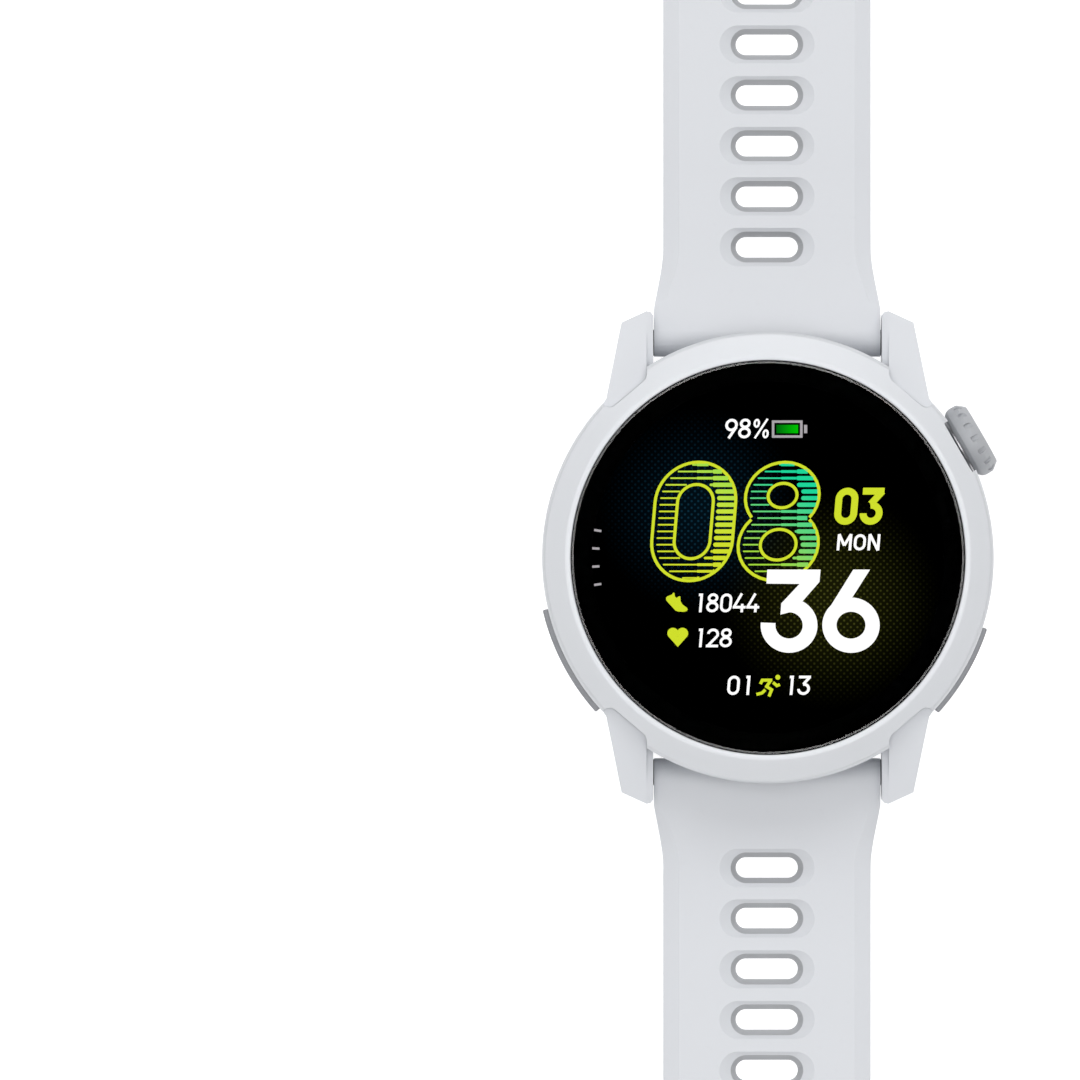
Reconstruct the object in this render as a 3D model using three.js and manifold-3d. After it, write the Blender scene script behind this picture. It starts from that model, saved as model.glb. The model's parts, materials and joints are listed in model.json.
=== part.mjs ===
// A running watch with satellite positioning, lying open and flat on a table.
// Millimetres. +Z is up through the dial, +Y points to twelve o'clock and +X to three o'clock.
// The origin is the centre of the sensor window's lowest face, which the case rests on.
// The upper strap carries the buckle and the lower strap the tail, with its locking stud.

import * as THREE from "three";
import { mergeVertices } from "three/addons/utils/BufferGeometryUtils.js";
import Module from "manifold-3d";

const wasm = await Module();
wasm.setup();

// ---- driving dimensions ----

const GAP = 0.05; // between still pieces that sit against each other
const FINE = 48; // sides of a large ring
const MEDIUM = 32; // sides of a crown-sized turning
const SMALL = 16; // sides of a pin, bore or screw

const bezelRadius = 21.7;
const bezelTop = 11.8;
const screenRadius = 18.9; // inner edge of the bezel
const caseRadius = 21.0;
const caseInside = 18.3;
const caseTop = 8.9;
const coverBottom = 1.4;
const coverTop = 2.55;
const coverRadius = 19.4;
const windowRadius = 10.0;

const chargingY = -15.9;
const contactXs = [-2.7, -0.9, 0.9, 2.7];

const lugGap = 22.0; // between the inner faces of a pair of lugs
const lugTop = 10.5; // at lugTopY, falling outwards
const lugTopY = 15.0;
const lugFall = Math.tan(THREE.MathUtils.degToRad(18));
const notchClearance = 0.06; // between a lug and the bezel's notch

const pinY = 21.35; // spring bars that hold the straps
const pinZ = 3.6;
const pivotRadius = 0.4;
const pivotReach = 11.9;

const strapHalfWidth = 9.95;
const strapLugHalfWidth = 10.8;
const strapThickness = 2.5;
const strapFloor = 0.05;
const barrelRadius = 2.0;
const flareStart = 24.3;
const flareEnd = 29.7;
const firstHole = 29.8;
const holePitch = 4.87;
const holeLength = 6.0;
const holeWidth = 1.98;
const holeFlare = 0.5; // how much further each edge lies at the top face
const buckleHalfHoles = 14;
const tailHalfHoles = 21;
const tailRise = 0.0207; // the tail climbs so that its stud clears the table
const straightY = 38.0; // where the strap has come down to the table

const bucklePinY = 102.2;
const bucklePinZ = 1.6;
const strapEndRadius = 1.525;
const strapEndY = 104.43;
const tangNotchHalfWidth = 2.83;
const tangNotchFloor = 100.53;
const tangHalfWidth = 2.6;
const armInner = 10.1;
const armOuter = 11.85;
const buckleEnd = 116.74;
const studY = 134.26;

const crownAngle = 30;
const crownHeight = 6.3;
const crownTravel = 0.3;
const backButtonAngle = -30.15;
const actionButtonAngle = 207.6;
const buttonHeight = 6.4;
const backButtonSpan = 24.3; // degrees round the case
const actionButtonSpan = 28.8;

// ---- turning outlines and shapes into solids ----

const radians = THREE.MathUtils.degToRad;

// A closed geometry as a solid that can be cut and joined.
function solid(geometry) {
  const bare = geometry.clone();
  bare.deleteAttribute("normal");
  bare.deleteAttribute("uv");
  const merged = mergeVertices(bare, 1e-4);
  const corners = merged.index.array;
  const triangles = [];
  for (let first = 0; first < corners.length; first += 3) {
    const [a, b, c] = corners.slice(first, first + 3);
    if (a !== b && b !== c && c !== a) {
      triangles.push(a, b, c);
    }
  }
  return new wasm.Manifold(new wasm.Mesh({
    numProp: 3,
    vertProperties: merged.attributes.position.array,
    triVerts: new Uint32Array(triangles),
  }));
}

function outline(points) {
  return new THREE.Shape(points.map(([across, up]) => new THREE.Vector2(across, up)));
}

// A profile of [radius, height] points turned round +Z; the outer wall must run upwards.
function turned(profile, sides) {
  const points = profile.map(([radius, height]) => new THREE.Vector2(radius, height));
  if (THREE.ShapeUtils.area(points) < 0) {
    points.reverse();
  }
  const onAxis = points[0].x === 0 && points.at(-1).x === 0;
  if (!onAxis) {
    points.push(points[0].clone());
  }
  return new THREE.LatheGeometry(points, sides).rotateX(Math.PI / 2);
}

// A profile of [radius, distance] points turned round +X.
function turnedAlongX(profile, sides) {
  return turned(profile, sides).rotateY(Math.PI / 2);
}

function disc(radius, low, high, sides) {
  return turned([[0, low], [radius, low], [radius, high], [0, high]], sides);
}

function rod(radius, from, to, sides = SMALL) {
  return turnedAlongX([[0, from], [radius, from], [radius, to], [0, to]], sides);
}

function washer(inner, outer, low, high, sides) {
  return turned([[inner, low], [outer, low], [outer, high], [inner, high]], sides);
}

function sleeve(inner, outer, from, to, sides = SMALL) {
  return turnedAlongX([[inner, from], [outer, from], [outer, to], [inner, to]], sides);
}

// A plan outline (X, Y) given a height along Z.
function plate(shape, low, high, curveSegments = 6) {
  const depth = high - low;
  const settings = { depth, bevelEnabled: false, curveSegments };
  return new THREE.ExtrudeGeometry(shape, settings).translate(0, 0, low);
}

// A side outline (Y, Z) given a width along X.
function acrossX(shape, from, to, curveSegments = 6) {
  const turn = new THREE.Matrix4().makeBasis(
    new THREE.Vector3(0, 1, 0),
    new THREE.Vector3(0, 0, 1),
    new THREE.Vector3(1, 0, 0),
  );
  return plate(shape, 0, to - from, curveSegments).applyMatrix4(turn).translate(from, 0, 0);
}

// An end outline (X, Z) given a length along Y.
function alongY(shape, from, to) {
  return plate(shape, 0, to - from).rotateX(Math.PI / 2).translate(0, to, 0);
}

function block(sizeX, sizeY, sizeZ, x, y, z) {
  return new THREE.BoxGeometry(sizeX, sizeY, sizeZ).translate(x, y, z);
}

function stadium(length, width) {
  const straight = (length - width) / 2;
  const shape = new THREE.Shape();
  shape.absarc(straight, 0, width / 2, -Math.PI / 2, Math.PI / 2, false);
  shape.absarc(-straight, 0, width / 2, Math.PI / 2, (3 * Math.PI) / 2, false);
  return shape;
}

function arcBand(inner, outer, middle, span) {
  const from = radians(middle - span / 2);
  const to = radians(middle + span / 2);
  const shape = new THREE.Shape();
  shape.absarc(0, 0, outer, from, to, false);
  shape.absarc(0, 0, inner, to, from, true);
  return shape;
}

// Moves a cutter made round its own +X axis out to an angle round the case.
function outwards(geometry, angle, height) {
  return geometry.rotateZ(radians(angle)).translate(0, 0, height);
}

function cut(body, ...cutters) {
  return cutters.reduce((left, cutter) => left.subtract(solid(cutter)), body);
}

function join(...pieces) {
  return pieces.map(solid).reduce((whole, piece) => whole.add(piece));
}

// ---- finishes ----

function finish(color, roughness, metalness) {
  return new THREE.MeshStandardMaterial({ color, roughness, metalness });
}

const pearl = finish(0xdcdee2, 0.45, 0.1);
const silicone = finish(0xdee0e4, 0.6, 0);
const silver = finish(0xb3b5b9, 0.3, 0.9);
const buttonSilver = finish(0x9a9ca0, 0.35, 0.8);
const steel = finish(0x8c8e92, 0.35, 1);
const blackGlass = finish(0x050505, 0.08, 0);
const clearGlass = new THREE.MeshStandardMaterial({
  color: 0xeef2f4,
  roughness: 0.05,
  metalness: 0,
  transparent: true,
  opacity: 0.3,
});
const darkPlastic = finish(0x2a2b2d, 0.5, 0);
const board = finish(0x1f4a33, 0.55, 0);
const gold = finish(0xc9a45c, 0.3, 1);
const sealRubber = finish(0x202022, 0.75, 0);
const greyPlastic = finish(0xbdbfc4, 0.5, 0);

const watch = new THREE.Group();
watch.name = "running_watch";

function add(name, body, material, parent = watch) {
  const { vertProperties, triVerts } = body.getMesh();
  const geometry = new THREE.BufferGeometry();
  geometry.setAttribute("position", new THREE.BufferAttribute(vertProperties, 3));
  geometry.setIndex(new THREE.BufferAttribute(triVerts, 1));
  geometry.computeVertexNormals();
  const mesh = new THREE.Mesh(geometry, material);
  mesh.name = name;
  parent.add(mesh);
  return mesh;
}

// ---- the case: a ring with four lugs, open below and above ----

const lugSigns = [[1, 1], [-1, 1], [-1, -1], [1, -1]];

// The raised part of a lug, which stands in a notch of the bezel. A chord crosses the bezel.
function notchOutline(signX, signY, shift) {
  const corner = [[11.65, 26], [11.65, 17.8], [12.05, 17.0], [14.55, 14.97], [15.3, 14.6]];
  const end = [[15.95, 14.9], [20, 14.9], [20, 26]];
  return outline([...corner, ...end].map(([x, y]) => [signX * (x - shift), signY * (y - shift)]));
}

function lug(signX, signY) {
  const inner = lugGap / 2;
  const plan = [
    [inner, 12], [inner, 23.3], [inner + 0.25, 23.62], [inner + 0.65, 23.7],
    [14.04, 22.6], [15.5, 15.3], [15.88, 14.73], [16.2, 12],
  ];
  const topAt = (y) => lugTop - lugFall * (y - lugTopY);
  const side = [
    [12, 1.35], [15, 1.35], [22.3, 1.75], [22.9, 2.2], [23.7, 7.4], [23.7, topAt(23.7)],
    [12, topAt(12)],
  ];
  const planShape = outline(plan.map(([x, y]) => [signX * x, signY * y]));
  const sideShape = outline(side.map(([y, z]) => [signY * y, z]));
  const reach = signX > 0 ? [10, 17] : [-17, -10];
  let body = solid(plate(planShape, 0, 14)).intersect(solid(acrossX(sideShape, ...reach)));

  // Above the case ring only the part inside the bezel's notch stands up.
  const raised = solid(plate(notchOutline(signX, signY, 0), 8.3, 14));
  const lower = solid(block(60, 60, 8.35, 0, 0, 8.35 / 2));
  body = body.intersect(raised.add(lower));

  // The chamfer along the inner edge falls with the top face.
  const chamfer = outline([[10.6, -1.05], [12.0, 0.35], [10.6, 0.35]].map(([x, z]) => [signX * x, z]));
  const [nearY, farY] = signY > 0 ? [10, 26] : [-26, -10];
  const fall = new THREE.Matrix4().makeShear(0, 0, 0, -signY * lugFall, 0, 0);
  const cutter = alongY(chamfer, nearY, farY).translate(0, -signY * lugTopY, 0);
  cutter.applyMatrix4(fall).translate(0, signY * lugTopY, lugTop);
  return cut(body, cutter);
}

const bossRadiusFromCentre = 17.0;
const bossAngles = [45, 135, 225, 315];

function bossPlace(angle) {
  const reach = bossRadiusFromCentre;
  return [reach * Math.cos(radians(angle)), reach * Math.sin(radians(angle))];
}

function buttonPocket(angle, span) {
  return plate(arcBand(20.55, 22.6, angle, span + 1.2), 4.9, 7.9);
}

function midCase() {
  const ring = turned([
    [caseInside, 2.75], [19.5, 2.75], [19.5, 1.35], [20.3, 1.35],
    [caseRadius, 2.2], [caseRadius, caseTop], [caseInside, caseTop],
  ], FINE);
  let body = lugSigns.reduce((whole, signs) => whole.add(lug(...signs)), solid(ring));

  const inside = turned([[0, 0], [19.5, 0], [19.5, 2.75], [caseInside, 2.75], [caseInside, 14], [0, 14]], FINE);
  body = cut(body, inside);
  for (const sign of [1, -1]) {
    body = cut(body, block(lugGap, 8, 8, 0, sign * (19.1 + 4), 4));
  }
  for (const angle of bossAngles) {
    const [x, y] = bossPlace(angle);
    body = body.add(solid(disc(1.6, 2.76, 6, SMALL).translate(x, y, 0)));
    body = cut(body, disc(0.66, 2, 5.3, SMALL).translate(x, y, 0));
  }
  for (const [signX, signY] of lugSigns) {
    const hole = signX > 0 ? rod(0.5, 10, 12.1) : rod(0.5, -12.1, -10);
    body = cut(body, hole.translate(0, signY * pinY, pinZ));
  }
  body = cut(
    body,
    outwards(rod(4.0, 20.75, 26, MEDIUM), crownAngle, crownHeight),
    outwards(rod(1.55, 17, 22, 24), crownAngle, crownHeight),
    buttonPocket(backButtonAngle, backButtonSpan),
    buttonPocket(actionButtonAngle, actionButtonSpan),
    outwards(rod(0.97, 17, 22), backButtonAngle, buttonHeight),
    outwards(rod(0.97, 17, 22), actionButtonAngle, buttonHeight),
  );
  return body;
}

function bezel() {
  const ring = turned([
    [21.1, 8.4], [bezelRadius, 8.4], [bezelRadius, 11.0], [21.45, 11.3],
    [19.45, bezelTop], [screenRadius, bezelTop], [screenRadius, 10.35], [17.9, 10.35],
    [17.9, 10.0], [18.35, 10.0], [18.35, caseTop + GAP], [21.1, caseTop + GAP],
  ], FINE);
  let body = solid(ring);
  for (const [signX, signY] of lugSigns) {
    body = cut(body, plate(notchOutline(signX, signY, notchClearance), 8, 14));
  }
  // The crown sits in a scoop of the bezel's outer wall, with a flat above it.
  return cut(
    body,
    outwards(rod(3.95, 20.85, 26, MEDIUM), crownAngle, crownHeight),
    outwards(block(4, 5.4, 6, 23.07, 0, 5), crownAngle, crownHeight),
  );
}

// ---- glass, display and the sealed module ----

function lens() {
  return solid(turned([
    [0, 10.65], [18.8, 10.65], [18.8, 11.4], [18.55, 11.55], [0, 11.55],
  ], FINE));
}

function innerFrame() {
  const ring = turned([
    [0, 8.65], [17.2, 8.65], [17.2, 7.95], [18.1, 7.95], [18.1, 9.15], [0, 9.15],
  ], FINE);
  return cut(solid(ring), block(8, 1.6, 2, 0, -10, 9));
}

function rearCover() {
  const dish = turned([
    [9, 1.35], [windowRadius + 0.1, 1.35], [windowRadius + 0.1, 0.45], [13.5, 0.45],
    [14.5, coverBottom], [coverRadius, coverBottom], [coverRadius, coverTop], [9, coverTop],
  ], FINE);
  let body = solid(dish);
  for (const angle of bossAngles) {
    const [x, y] = bossPlace(angle);
    body = cut(body, disc(1.38, 1, 2.12, SMALL).translate(x, y, 0));
    body = cut(body, disc(0.7, 1, 3, SMALL).translate(x, y, 0));
  }
  return cut(body, plate(stadium(7.9, 2.3), 1, 3).translate(0, chargingY, 0));
}

function sensorWindow() {
  return solid(turned([
    [0, 0], [8.6, 0], [9.6, 0.25], [windowRadius, 0.6], [windowRadius, 1.3], [0, 1.3],
  ], FINE));
}

function caseScrew() {
  const shank = turned([
    [0, 1.45], [1.05, 1.45], [1.3, 1.6], [1.3, 2.08], [0.6, 2.08], [0.6, 5.2], [0, 5.2],
  ], SMALL);
  return cut(solid(shank), disc(0.6, 1, 1.8, 6));
}

function chargingBlock() {
  const body = solid(plate(stadium(7.8, 2.2), 1.5, 2.5));
  return cut(body, ...contactXs.map((x) => disc(0.42, 1, 3, 12).translate(x, 0, 0)));
}

function motorCan() {
  const cup = turned([
    [0, 6.2], [4, 6.2], [4, 3.5], [3.6, 3.5], [3.6, 5.8], [0.3, 5.8], [0.3, 3.8], [0, 3.8],
  ], 24);
  return solid(cup);
}

// An off-centre weight: a half disc on a bushed hub.
function motorRotor() {
  const half = new THREE.Shape();
  half.absarc(0, 0, 3.3, 0, Math.PI, false);
  const body = solid(plate(half, 4.0, 5.6, 8)).add(solid(disc(0.9, 4.0, 5.6, SMALL)));
  return cut(body, disc(0.4, 3, 7, SMALL));
}

add("mid_case", midCase(), pearl);
add("bezel", bezel(), pearl);
add("lens", lens(), clearGlass);
add("lens_gasket", solid(washer(18.0, 18.75, 10.38, 10.62, FINE)), sealRubber);
add("display_panel", solid(disc(17.45, 9.25, 10.55, FINE)), blackGlass);
add("antenna_ring", solid(washer(17.6, 18.25, 9.2, 9.9, FINE)), gold);
add("inner_frame", innerFrame(), darkPlastic);
add("main_board", solid(disc(16.2, 7.8, 8.5, MEDIUM)), board);
add("board_shield", solid(block(14, 12, 1.25, 0, 2, 7.12)), steel);
add("battery", solid(block(20, 17, 3.4, 0, 2, 4.6)), darkPlastic);
add("pressure_sensor", solid(block(4, 4, 1.2, -12.2, 4, 7.15)), steel);
add("rear_cover", rearCover(), pearl);
add("rear_cover_gasket", solid(washer(18.5, 19.2, 2.58, 2.72, FINE)), sealRubber);
add("sensor_window", sensorWindow(), blackGlass);
add("sensor_board", solid(disc(8.5, 1.75, 2.35, MEDIUM)), board);

for (const [index, angle] of bossAngles.entries()) {
  const screw = add(`rear_screw_${index + 1}`, caseScrew(), steel);
  screw.position.set(...bossPlace(angle), 0);
}

const charger = new THREE.Group();
charger.position.y = chargingY;
watch.add(charger);
add("charging_block", chargingBlock(), darkPlastic, charger);
for (const [index, x] of contactXs.entries()) {
  const contact = add(`charging_contact_${index + 1}`, solid(disc(0.35, 1.45, 2.7, 12)), gold, charger);
  contact.position.x = x;
}

const motor = new THREE.Group();
motor.position.y = -12;
watch.add(motor);
add("motor_can", motorCan(), steel, motor);
add("motor_rotor", motorRotor(), steel, motor);

// ---- the crown: presses in and turns ----

function radialGroup(angle, height) {
  const group = new THREE.Group();
  group.rotation.z = radians(angle);
  group.position.z = height;
  watch.add(group);
  return group;
}

function crownKnob() {
  const knob = turnedAlongX([
    [1.25, 21.25], [2.9, 21.27], [3.45, 21.85], [3.65, 22.2], [3.6, 23.35], [3.2, 23.7],
    [2.6, 23.8], [2.2, 23.6], [0, 23.6], [0, 23.05], [1.25, 23.05],
  ], MEDIUM);
  const teeth = 16;
  let body = solid(knob);
  for (let tooth = 0; tooth < teeth; tooth += 1) {
    const groove = block(1.0, 0.45, 0.8, 23.1, 0, 3.72);
    body = cut(body, groove.rotateX((tooth * 2 * Math.PI) / teeth));
  }
  return body;
}

function crownStem() {
  return solid(turnedAlongX([
    [0, 16.2], [0.8, 16.2], [0.8, 17.52], [1.18, 17.52], [1.18, 19.5], [0.8, 19.5],
    [0.8, 20.2], [1.18, 20.2], [1.18, 23.0], [0, 23.0],
  ], 24));
}

const crown = radialGroup(crownAngle, crownHeight);
add("crown_tube", solid(sleeve(1.25, 1.5, 17.6, 20.9, 24)), steel, crown);
add("crown_knob", crownKnob(), silver, crown);
add("crown_stem", crownStem(), steel, crown);
add("crown_seal", solid(sleeve(0.83, 1.21, 19.53, 20.17, 24)), sealRubber, crown);
add("crown_clip", solid(sleeve(0.83, 1.4, 17.22, 17.47, 24)), steel, crown);
add("crown_magnet", solid(sleeve(0.85, 1.35, 16.6, 17.15, 24)), darkPlastic, crown);
add("crown_push_plate", solid(rod(1.2, 15.6, 16.1, SMALL)), steel, crown);
add("crown_switch", solid(block(1.0, 3.0, 2.2, 15.55 - crownTravel - 0.5, 0, 0)), darkPlastic, crown);

// ---- the two side buttons ----

function buttonCap(span) {
  return solid(plate(arcBand(20.95, 22.13, 0, span), -1.3, 1.3));
}

function buttonPlunger() {
  return solid(turnedAlongX([
    [0, 17.0], [0.9, 17.0], [0.9, 19.2], [0.62, 19.2], [0.62, 19.9], [0.9, 19.9],
    [0.9, 20.88], [0, 20.88],
  ], SMALL));
}

function addButton(name, angle, span) {
  const group = radialGroup(angle, buttonHeight);
  add(`${name}_cap`, buttonCap(span), buttonSilver, group);
  add(`${name}_plunger`, buttonPlunger(), steel, group);
  add(`${name}_seal`, solid(sleeve(0.65, 0.94, 19.23, 19.87)), sealRubber, group);
  add(`${name}_switch`, solid(block(0.7, 2.4, 1.8, 16.2, 0, 0)), darkPlastic, group);
}

addButton("back_button", backButtonAngle, backButtonSpan);
addButton("action_button", actionButtonAngle, actionButtonSpan);

// ---- the straps ----

const rootTop = radians(70); // where the top face leaves the barrel
const rootBottom = radians(258);

function onBarrel(angle) {
  return [pinY + barrelRadius * Math.cos(angle), pinZ + barrelRadius * Math.sin(angle)];
}

// Where a face that leaves the barrel at a tangent would reach a level.
function tangentMeets(angle, level) {
  const [y, z] = onBarrel(angle);
  return [y + ((z - level) * Math.sin(angle)) / Math.cos(angle), level];
}

// Adds the barrel and the two faces that sweep down from it to the table.
function strapRoot(shape) {
  const top = strapFloor + strapThickness;
  shape.lineTo(straightY, top);
  shape.quadraticCurveTo(...tangentMeets(rootTop, top), ...onBarrel(rootTop));
  shape.absarc(pinY, pinZ, barrelRadius, rootTop, rootBottom, false);
  shape.quadraticCurveTo(...tangentMeets(rootBottom, strapFloor), 36, strapFloor);
  shape.lineTo(straightY, strapFloor);
}

function upperStrapSide() {
  const endCentre = strapFloor + strapEndRadius;
  const endY = strapEndY - strapEndRadius;
  const shape = new THREE.Shape();
  shape.moveTo(endY, strapFloor);
  shape.absarc(endY, endCentre, strapEndRadius, -Math.PI / 2, Math.PI / 2, false);
  shape.lineTo(100.5, strapFloor + 2 * strapEndRadius);
  shape.bezierCurveTo(98, 3.1, 97.5, 2.55, 95, strapFloor + strapThickness);
  strapRoot(shape);
  return shape;
}

function lowerStrapSide() {
  const end = 142;
  const rise = (end - straightY) * tailRise;
  const shape = new THREE.Shape();
  shape.moveTo(end, strapFloor + rise);
  shape.lineTo(end, strapFloor + strapThickness + rise);
  strapRoot(shape);
  return shape;
}

function flareOut(shape, side) {
  const middle = (flareStart + flareEnd) / 2;
  shape.lineTo(side * strapHalfWidth, flareEnd);
  shape.bezierCurveTo(
    side * strapHalfWidth, middle, side * strapLugHalfWidth, middle,
    side * strapLugHalfWidth, flareStart,
  );
  shape.lineTo(side * strapLugHalfWidth, 19);
}

function flareIn(shape, side) {
  const middle = (flareStart + flareEnd) / 2;
  shape.moveTo(side * strapLugHalfWidth, 19);
  shape.lineTo(side * strapLugHalfWidth, flareStart);
  shape.bezierCurveTo(
    side * strapLugHalfWidth, middle, side * strapHalfWidth, middle,
    side * strapHalfWidth, flareEnd,
  );
}

function upperStrapPlan() {
  const shoulder = strapHalfWidth - 0.6;
  const past = strapEndY + 1;
  const shape = new THREE.Shape();
  flareIn(shape, 1);
  shape.lineTo(strapHalfWidth, strapEndY - 0.6);
  shape.lineTo(shoulder, past - 1);
  shape.lineTo(shoulder, past);
  shape.lineTo(tangNotchHalfWidth, past);
  shape.lineTo(tangNotchHalfWidth, tangNotchFloor);
  shape.lineTo(-tangNotchHalfWidth, tangNotchFloor);
  shape.lineTo(-tangNotchHalfWidth, past);
  shape.lineTo(-shoulder, past);
  shape.lineTo(-shoulder, past - 1);
  shape.lineTo(-strapHalfWidth, strapEndY - 0.6);
  flareOut(shape, -1);
  return shape;
}

function lowerStrapPlan() {
  const cornerX = 4.35;
  const cornerY = 135.4;
  const cornerRadius = strapHalfWidth - cornerX;
  const tipAngle = radians(71.63);
  const shape = new THREE.Shape();
  flareIn(shape, 1);
  shape.absarc(cornerX, cornerY, cornerRadius, 0, tipAngle, false);
  shape.absarc(0, 122.3, 19.4, tipAngle, Math.PI - tipAngle, false);
  shape.absarc(-cornerX, cornerY, cornerRadius, Math.PI - tipAngle, Math.PI, false);
  flareOut(shape, -1);
  return shape;
}

// A hole that opens out towards the top face: narrow below, wide above.
function strapHole(level) {
  const hole = plate(stadium(holeLength, holeWidth), -0.2, strapThickness + 0.2, 2);
  const corner = hole.attributes.position;
  for (let index = 0; index < corner.count; index += 1) {
    if (corner.getZ(index) > strapThickness) {
      const x = corner.getX(index);
      const y = corner.getY(index);
      const straight = Math.sign(x) * Math.min(Math.abs(x), (holeLength - holeWidth) / 2);
      const length = Math.hypot(x - straight, y);
      corner.setX(index, x + ((x - straight) / length) * holeFlare);
      corner.setY(index, y + (y / length) * holeFlare);
    }
  }
  return hole.translate(0, 0, level);
}

function strapBody(side, plan, holes, levelAt) {
  const wide = strapLugHalfWidth + 0.5;
  let body = solid(acrossX(side, -wide, wide, 4)).intersect(solid(plate(plan, -1, 8, 5)));
  for (let hole = 0; hole < holes; hole += 1) {
    const y = firstHole + hole * holePitch;
    body = cut(body, strapHole(levelAt(y)).translate(0, y, 0));
  }
  // The spring bar's bore, and the window under it that the release knob slides in.
  return cut(
    body,
    rod(0.95, -wide, wide).translate(0, pinY, pinZ),
    block(3.4, 2.4, 2.2, -7.2, pinY, 1.9),
  );
}

// The curved root lies higher than the straight part of the strap.
function rootLevel(y) {
  const curve = new THREE.QuadraticBezierCurve(
    new THREE.Vector2(...onBarrel(rootBottom)),
    new THREE.Vector2(...tangentMeets(rootBottom, strapFloor)),
    new THREE.Vector2(36, strapFloor),
  );
  const share = (y - curve.v0.x) / (36 - curve.v0.x);
  return y < 36 ? curve.getPoint(share).y : strapFloor;
}

function tailLevel(y) {
  return rootLevel(y) + Math.max(0, y - straightY) * tailRise;
}

function upperStrap() {
  const body = strapBody(upperStrapSide(), upperStrapPlan(), buckleHalfHoles, rootLevel);
  return cut(body, rod(0.95, -12, 12).translate(0, bucklePinY, bucklePinZ));
}

// Puts a stud-shaped piece square to the tail's top face.
function atStud(geometry) {
  const top = tailLevel(studY) + strapThickness;
  return geometry.rotateX(Math.atan(tailRise)).translate(0, studY, top);
}

function lowerStrap() {
  const body = strapBody(lowerStrapSide(), lowerStrapPlan(), tailHalfHoles, tailLevel);
  return cut(
    body,
    atStud(plate(stadium(10.2, 5.0), -0.95, 1, 5)),
    atStud(plate(stadium(5.5, 1.8), -4, 1, 3)),
  );
}

// A pill-shaped head, a neck through the strap, and a bulb that snaps into a hole of the other half.
function lockingStud() {
  const under = -strapThickness;
  return join(
    atStud(plate(stadium(10.1, 4.9), -0.9, 0, 5)),
    atStud(plate(stadium(5.4, 1.7), under - 1.5, -0.5, 3)),
    atStud(plate(stadium(6.2, 2.2), under - 1.95, under - 0.75, 3)),
  );
}

// ---- spring bars ----

class Helix extends THREE.Curve {
  constructor(radius, from, to, turns) {
    super();
    Object.assign(this, { radius, from, to, turns });
  }

  getPoint(share, target = new THREE.Vector3()) {
    const angle = share * this.turns * 2 * Math.PI;
    const x = this.from + share * (this.to - this.from);
    return target.set(x, this.radius * Math.cos(angle), this.radius * Math.sin(angle));
  }
}

function coilSpring(radius, wire, from, to, turns) {
  const path = new Helix(radius, from, to, turns);
  const section = new THREE.Shape().absarc(0, 0, wire, 0, 2 * Math.PI, false);
  const settings = { steps: turns * 8, curveSegments: 2, bevelEnabled: false, extrudePath: path };
  return solid(new THREE.ExtrudeGeometry(section, settings));
}

const tubeRadius = 0.85;
const tubeBore = 0.55;
const plugRadius = 0.5;
const releaseKnobX = -7.5;

// A tube with a slot under one end for the release knob.
function releaseTube() {
  return cut(solid(sleeve(tubeBore, tubeRadius, -9.6, 9.6)), block(2.3, 0.84, 1.2, -7.05, 0, -0.75));
}

function fixedTip() {
  return solid(turnedAlongX([
    [0, -4.2], [plugRadius, -4.2], [plugRadius, 9.65], [0.8, 9.65], [0.8, 10.7],
    [pivotRadius, 10.7], [pivotRadius, pivotReach], [0, pivotReach],
  ], SMALL));
}

function releaseTip() {
  const pin = solid(turnedAlongX([
    [0, -pivotReach], [pivotRadius, -pivotReach], [pivotRadius, -9.9], [plugRadius, -9.7],
    [plugRadius, -6.9], [0, -6.9],
  ], SMALL));
  return pin.add(solid(disc(0.35, -1.9, 0, 12).translate(releaseKnobX, 0, 0)));
}

function strapGroup(turn) {
  const group = new THREE.Group();
  group.rotation.z = turn;
  watch.add(group);
  return group;
}

function addSpringBar(name, strap) {
  const bar = new THREE.Group();
  bar.position.set(0, pinY, pinZ);
  strap.add(bar);
  add(`${name}_bar_tube`, releaseTube(), steel, bar);
  add(`${name}_bar_fixed_tip`, fixedTip(), steel, bar);
  add(`${name}_bar_release_tip`, releaseTip(), steel, bar);
  add(`${name}_bar_spring`, coilSpring(0.38, 0.08, -6.75, -4.35, 5), steel, bar);
}

const upper = strapGroup(0);
add("upper_strap", upperStrap(), silicone, upper);
addSpringBar("upper", upper);

const lower = strapGroup(Math.PI);
add("lower_strap", lowerStrap(), silicone, lower);
addSpringBar("lower", lower);
add("locking_stud", lockingStud(), greyPlastic, lower);

// ---- the buckle ----

function buckleBarTip(side) {
  const [inside, shoulder, outside] = [7.2, 9.55, 11.0].map((x) => side * x);
  return join(rod(plugRadius, ...ordered(inside, shoulder)), rod(0.575, ...ordered(shoulder, outside)));
}

function ordered(a, b) {
  return a < b ? [a, b] : [b, a];
}

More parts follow.
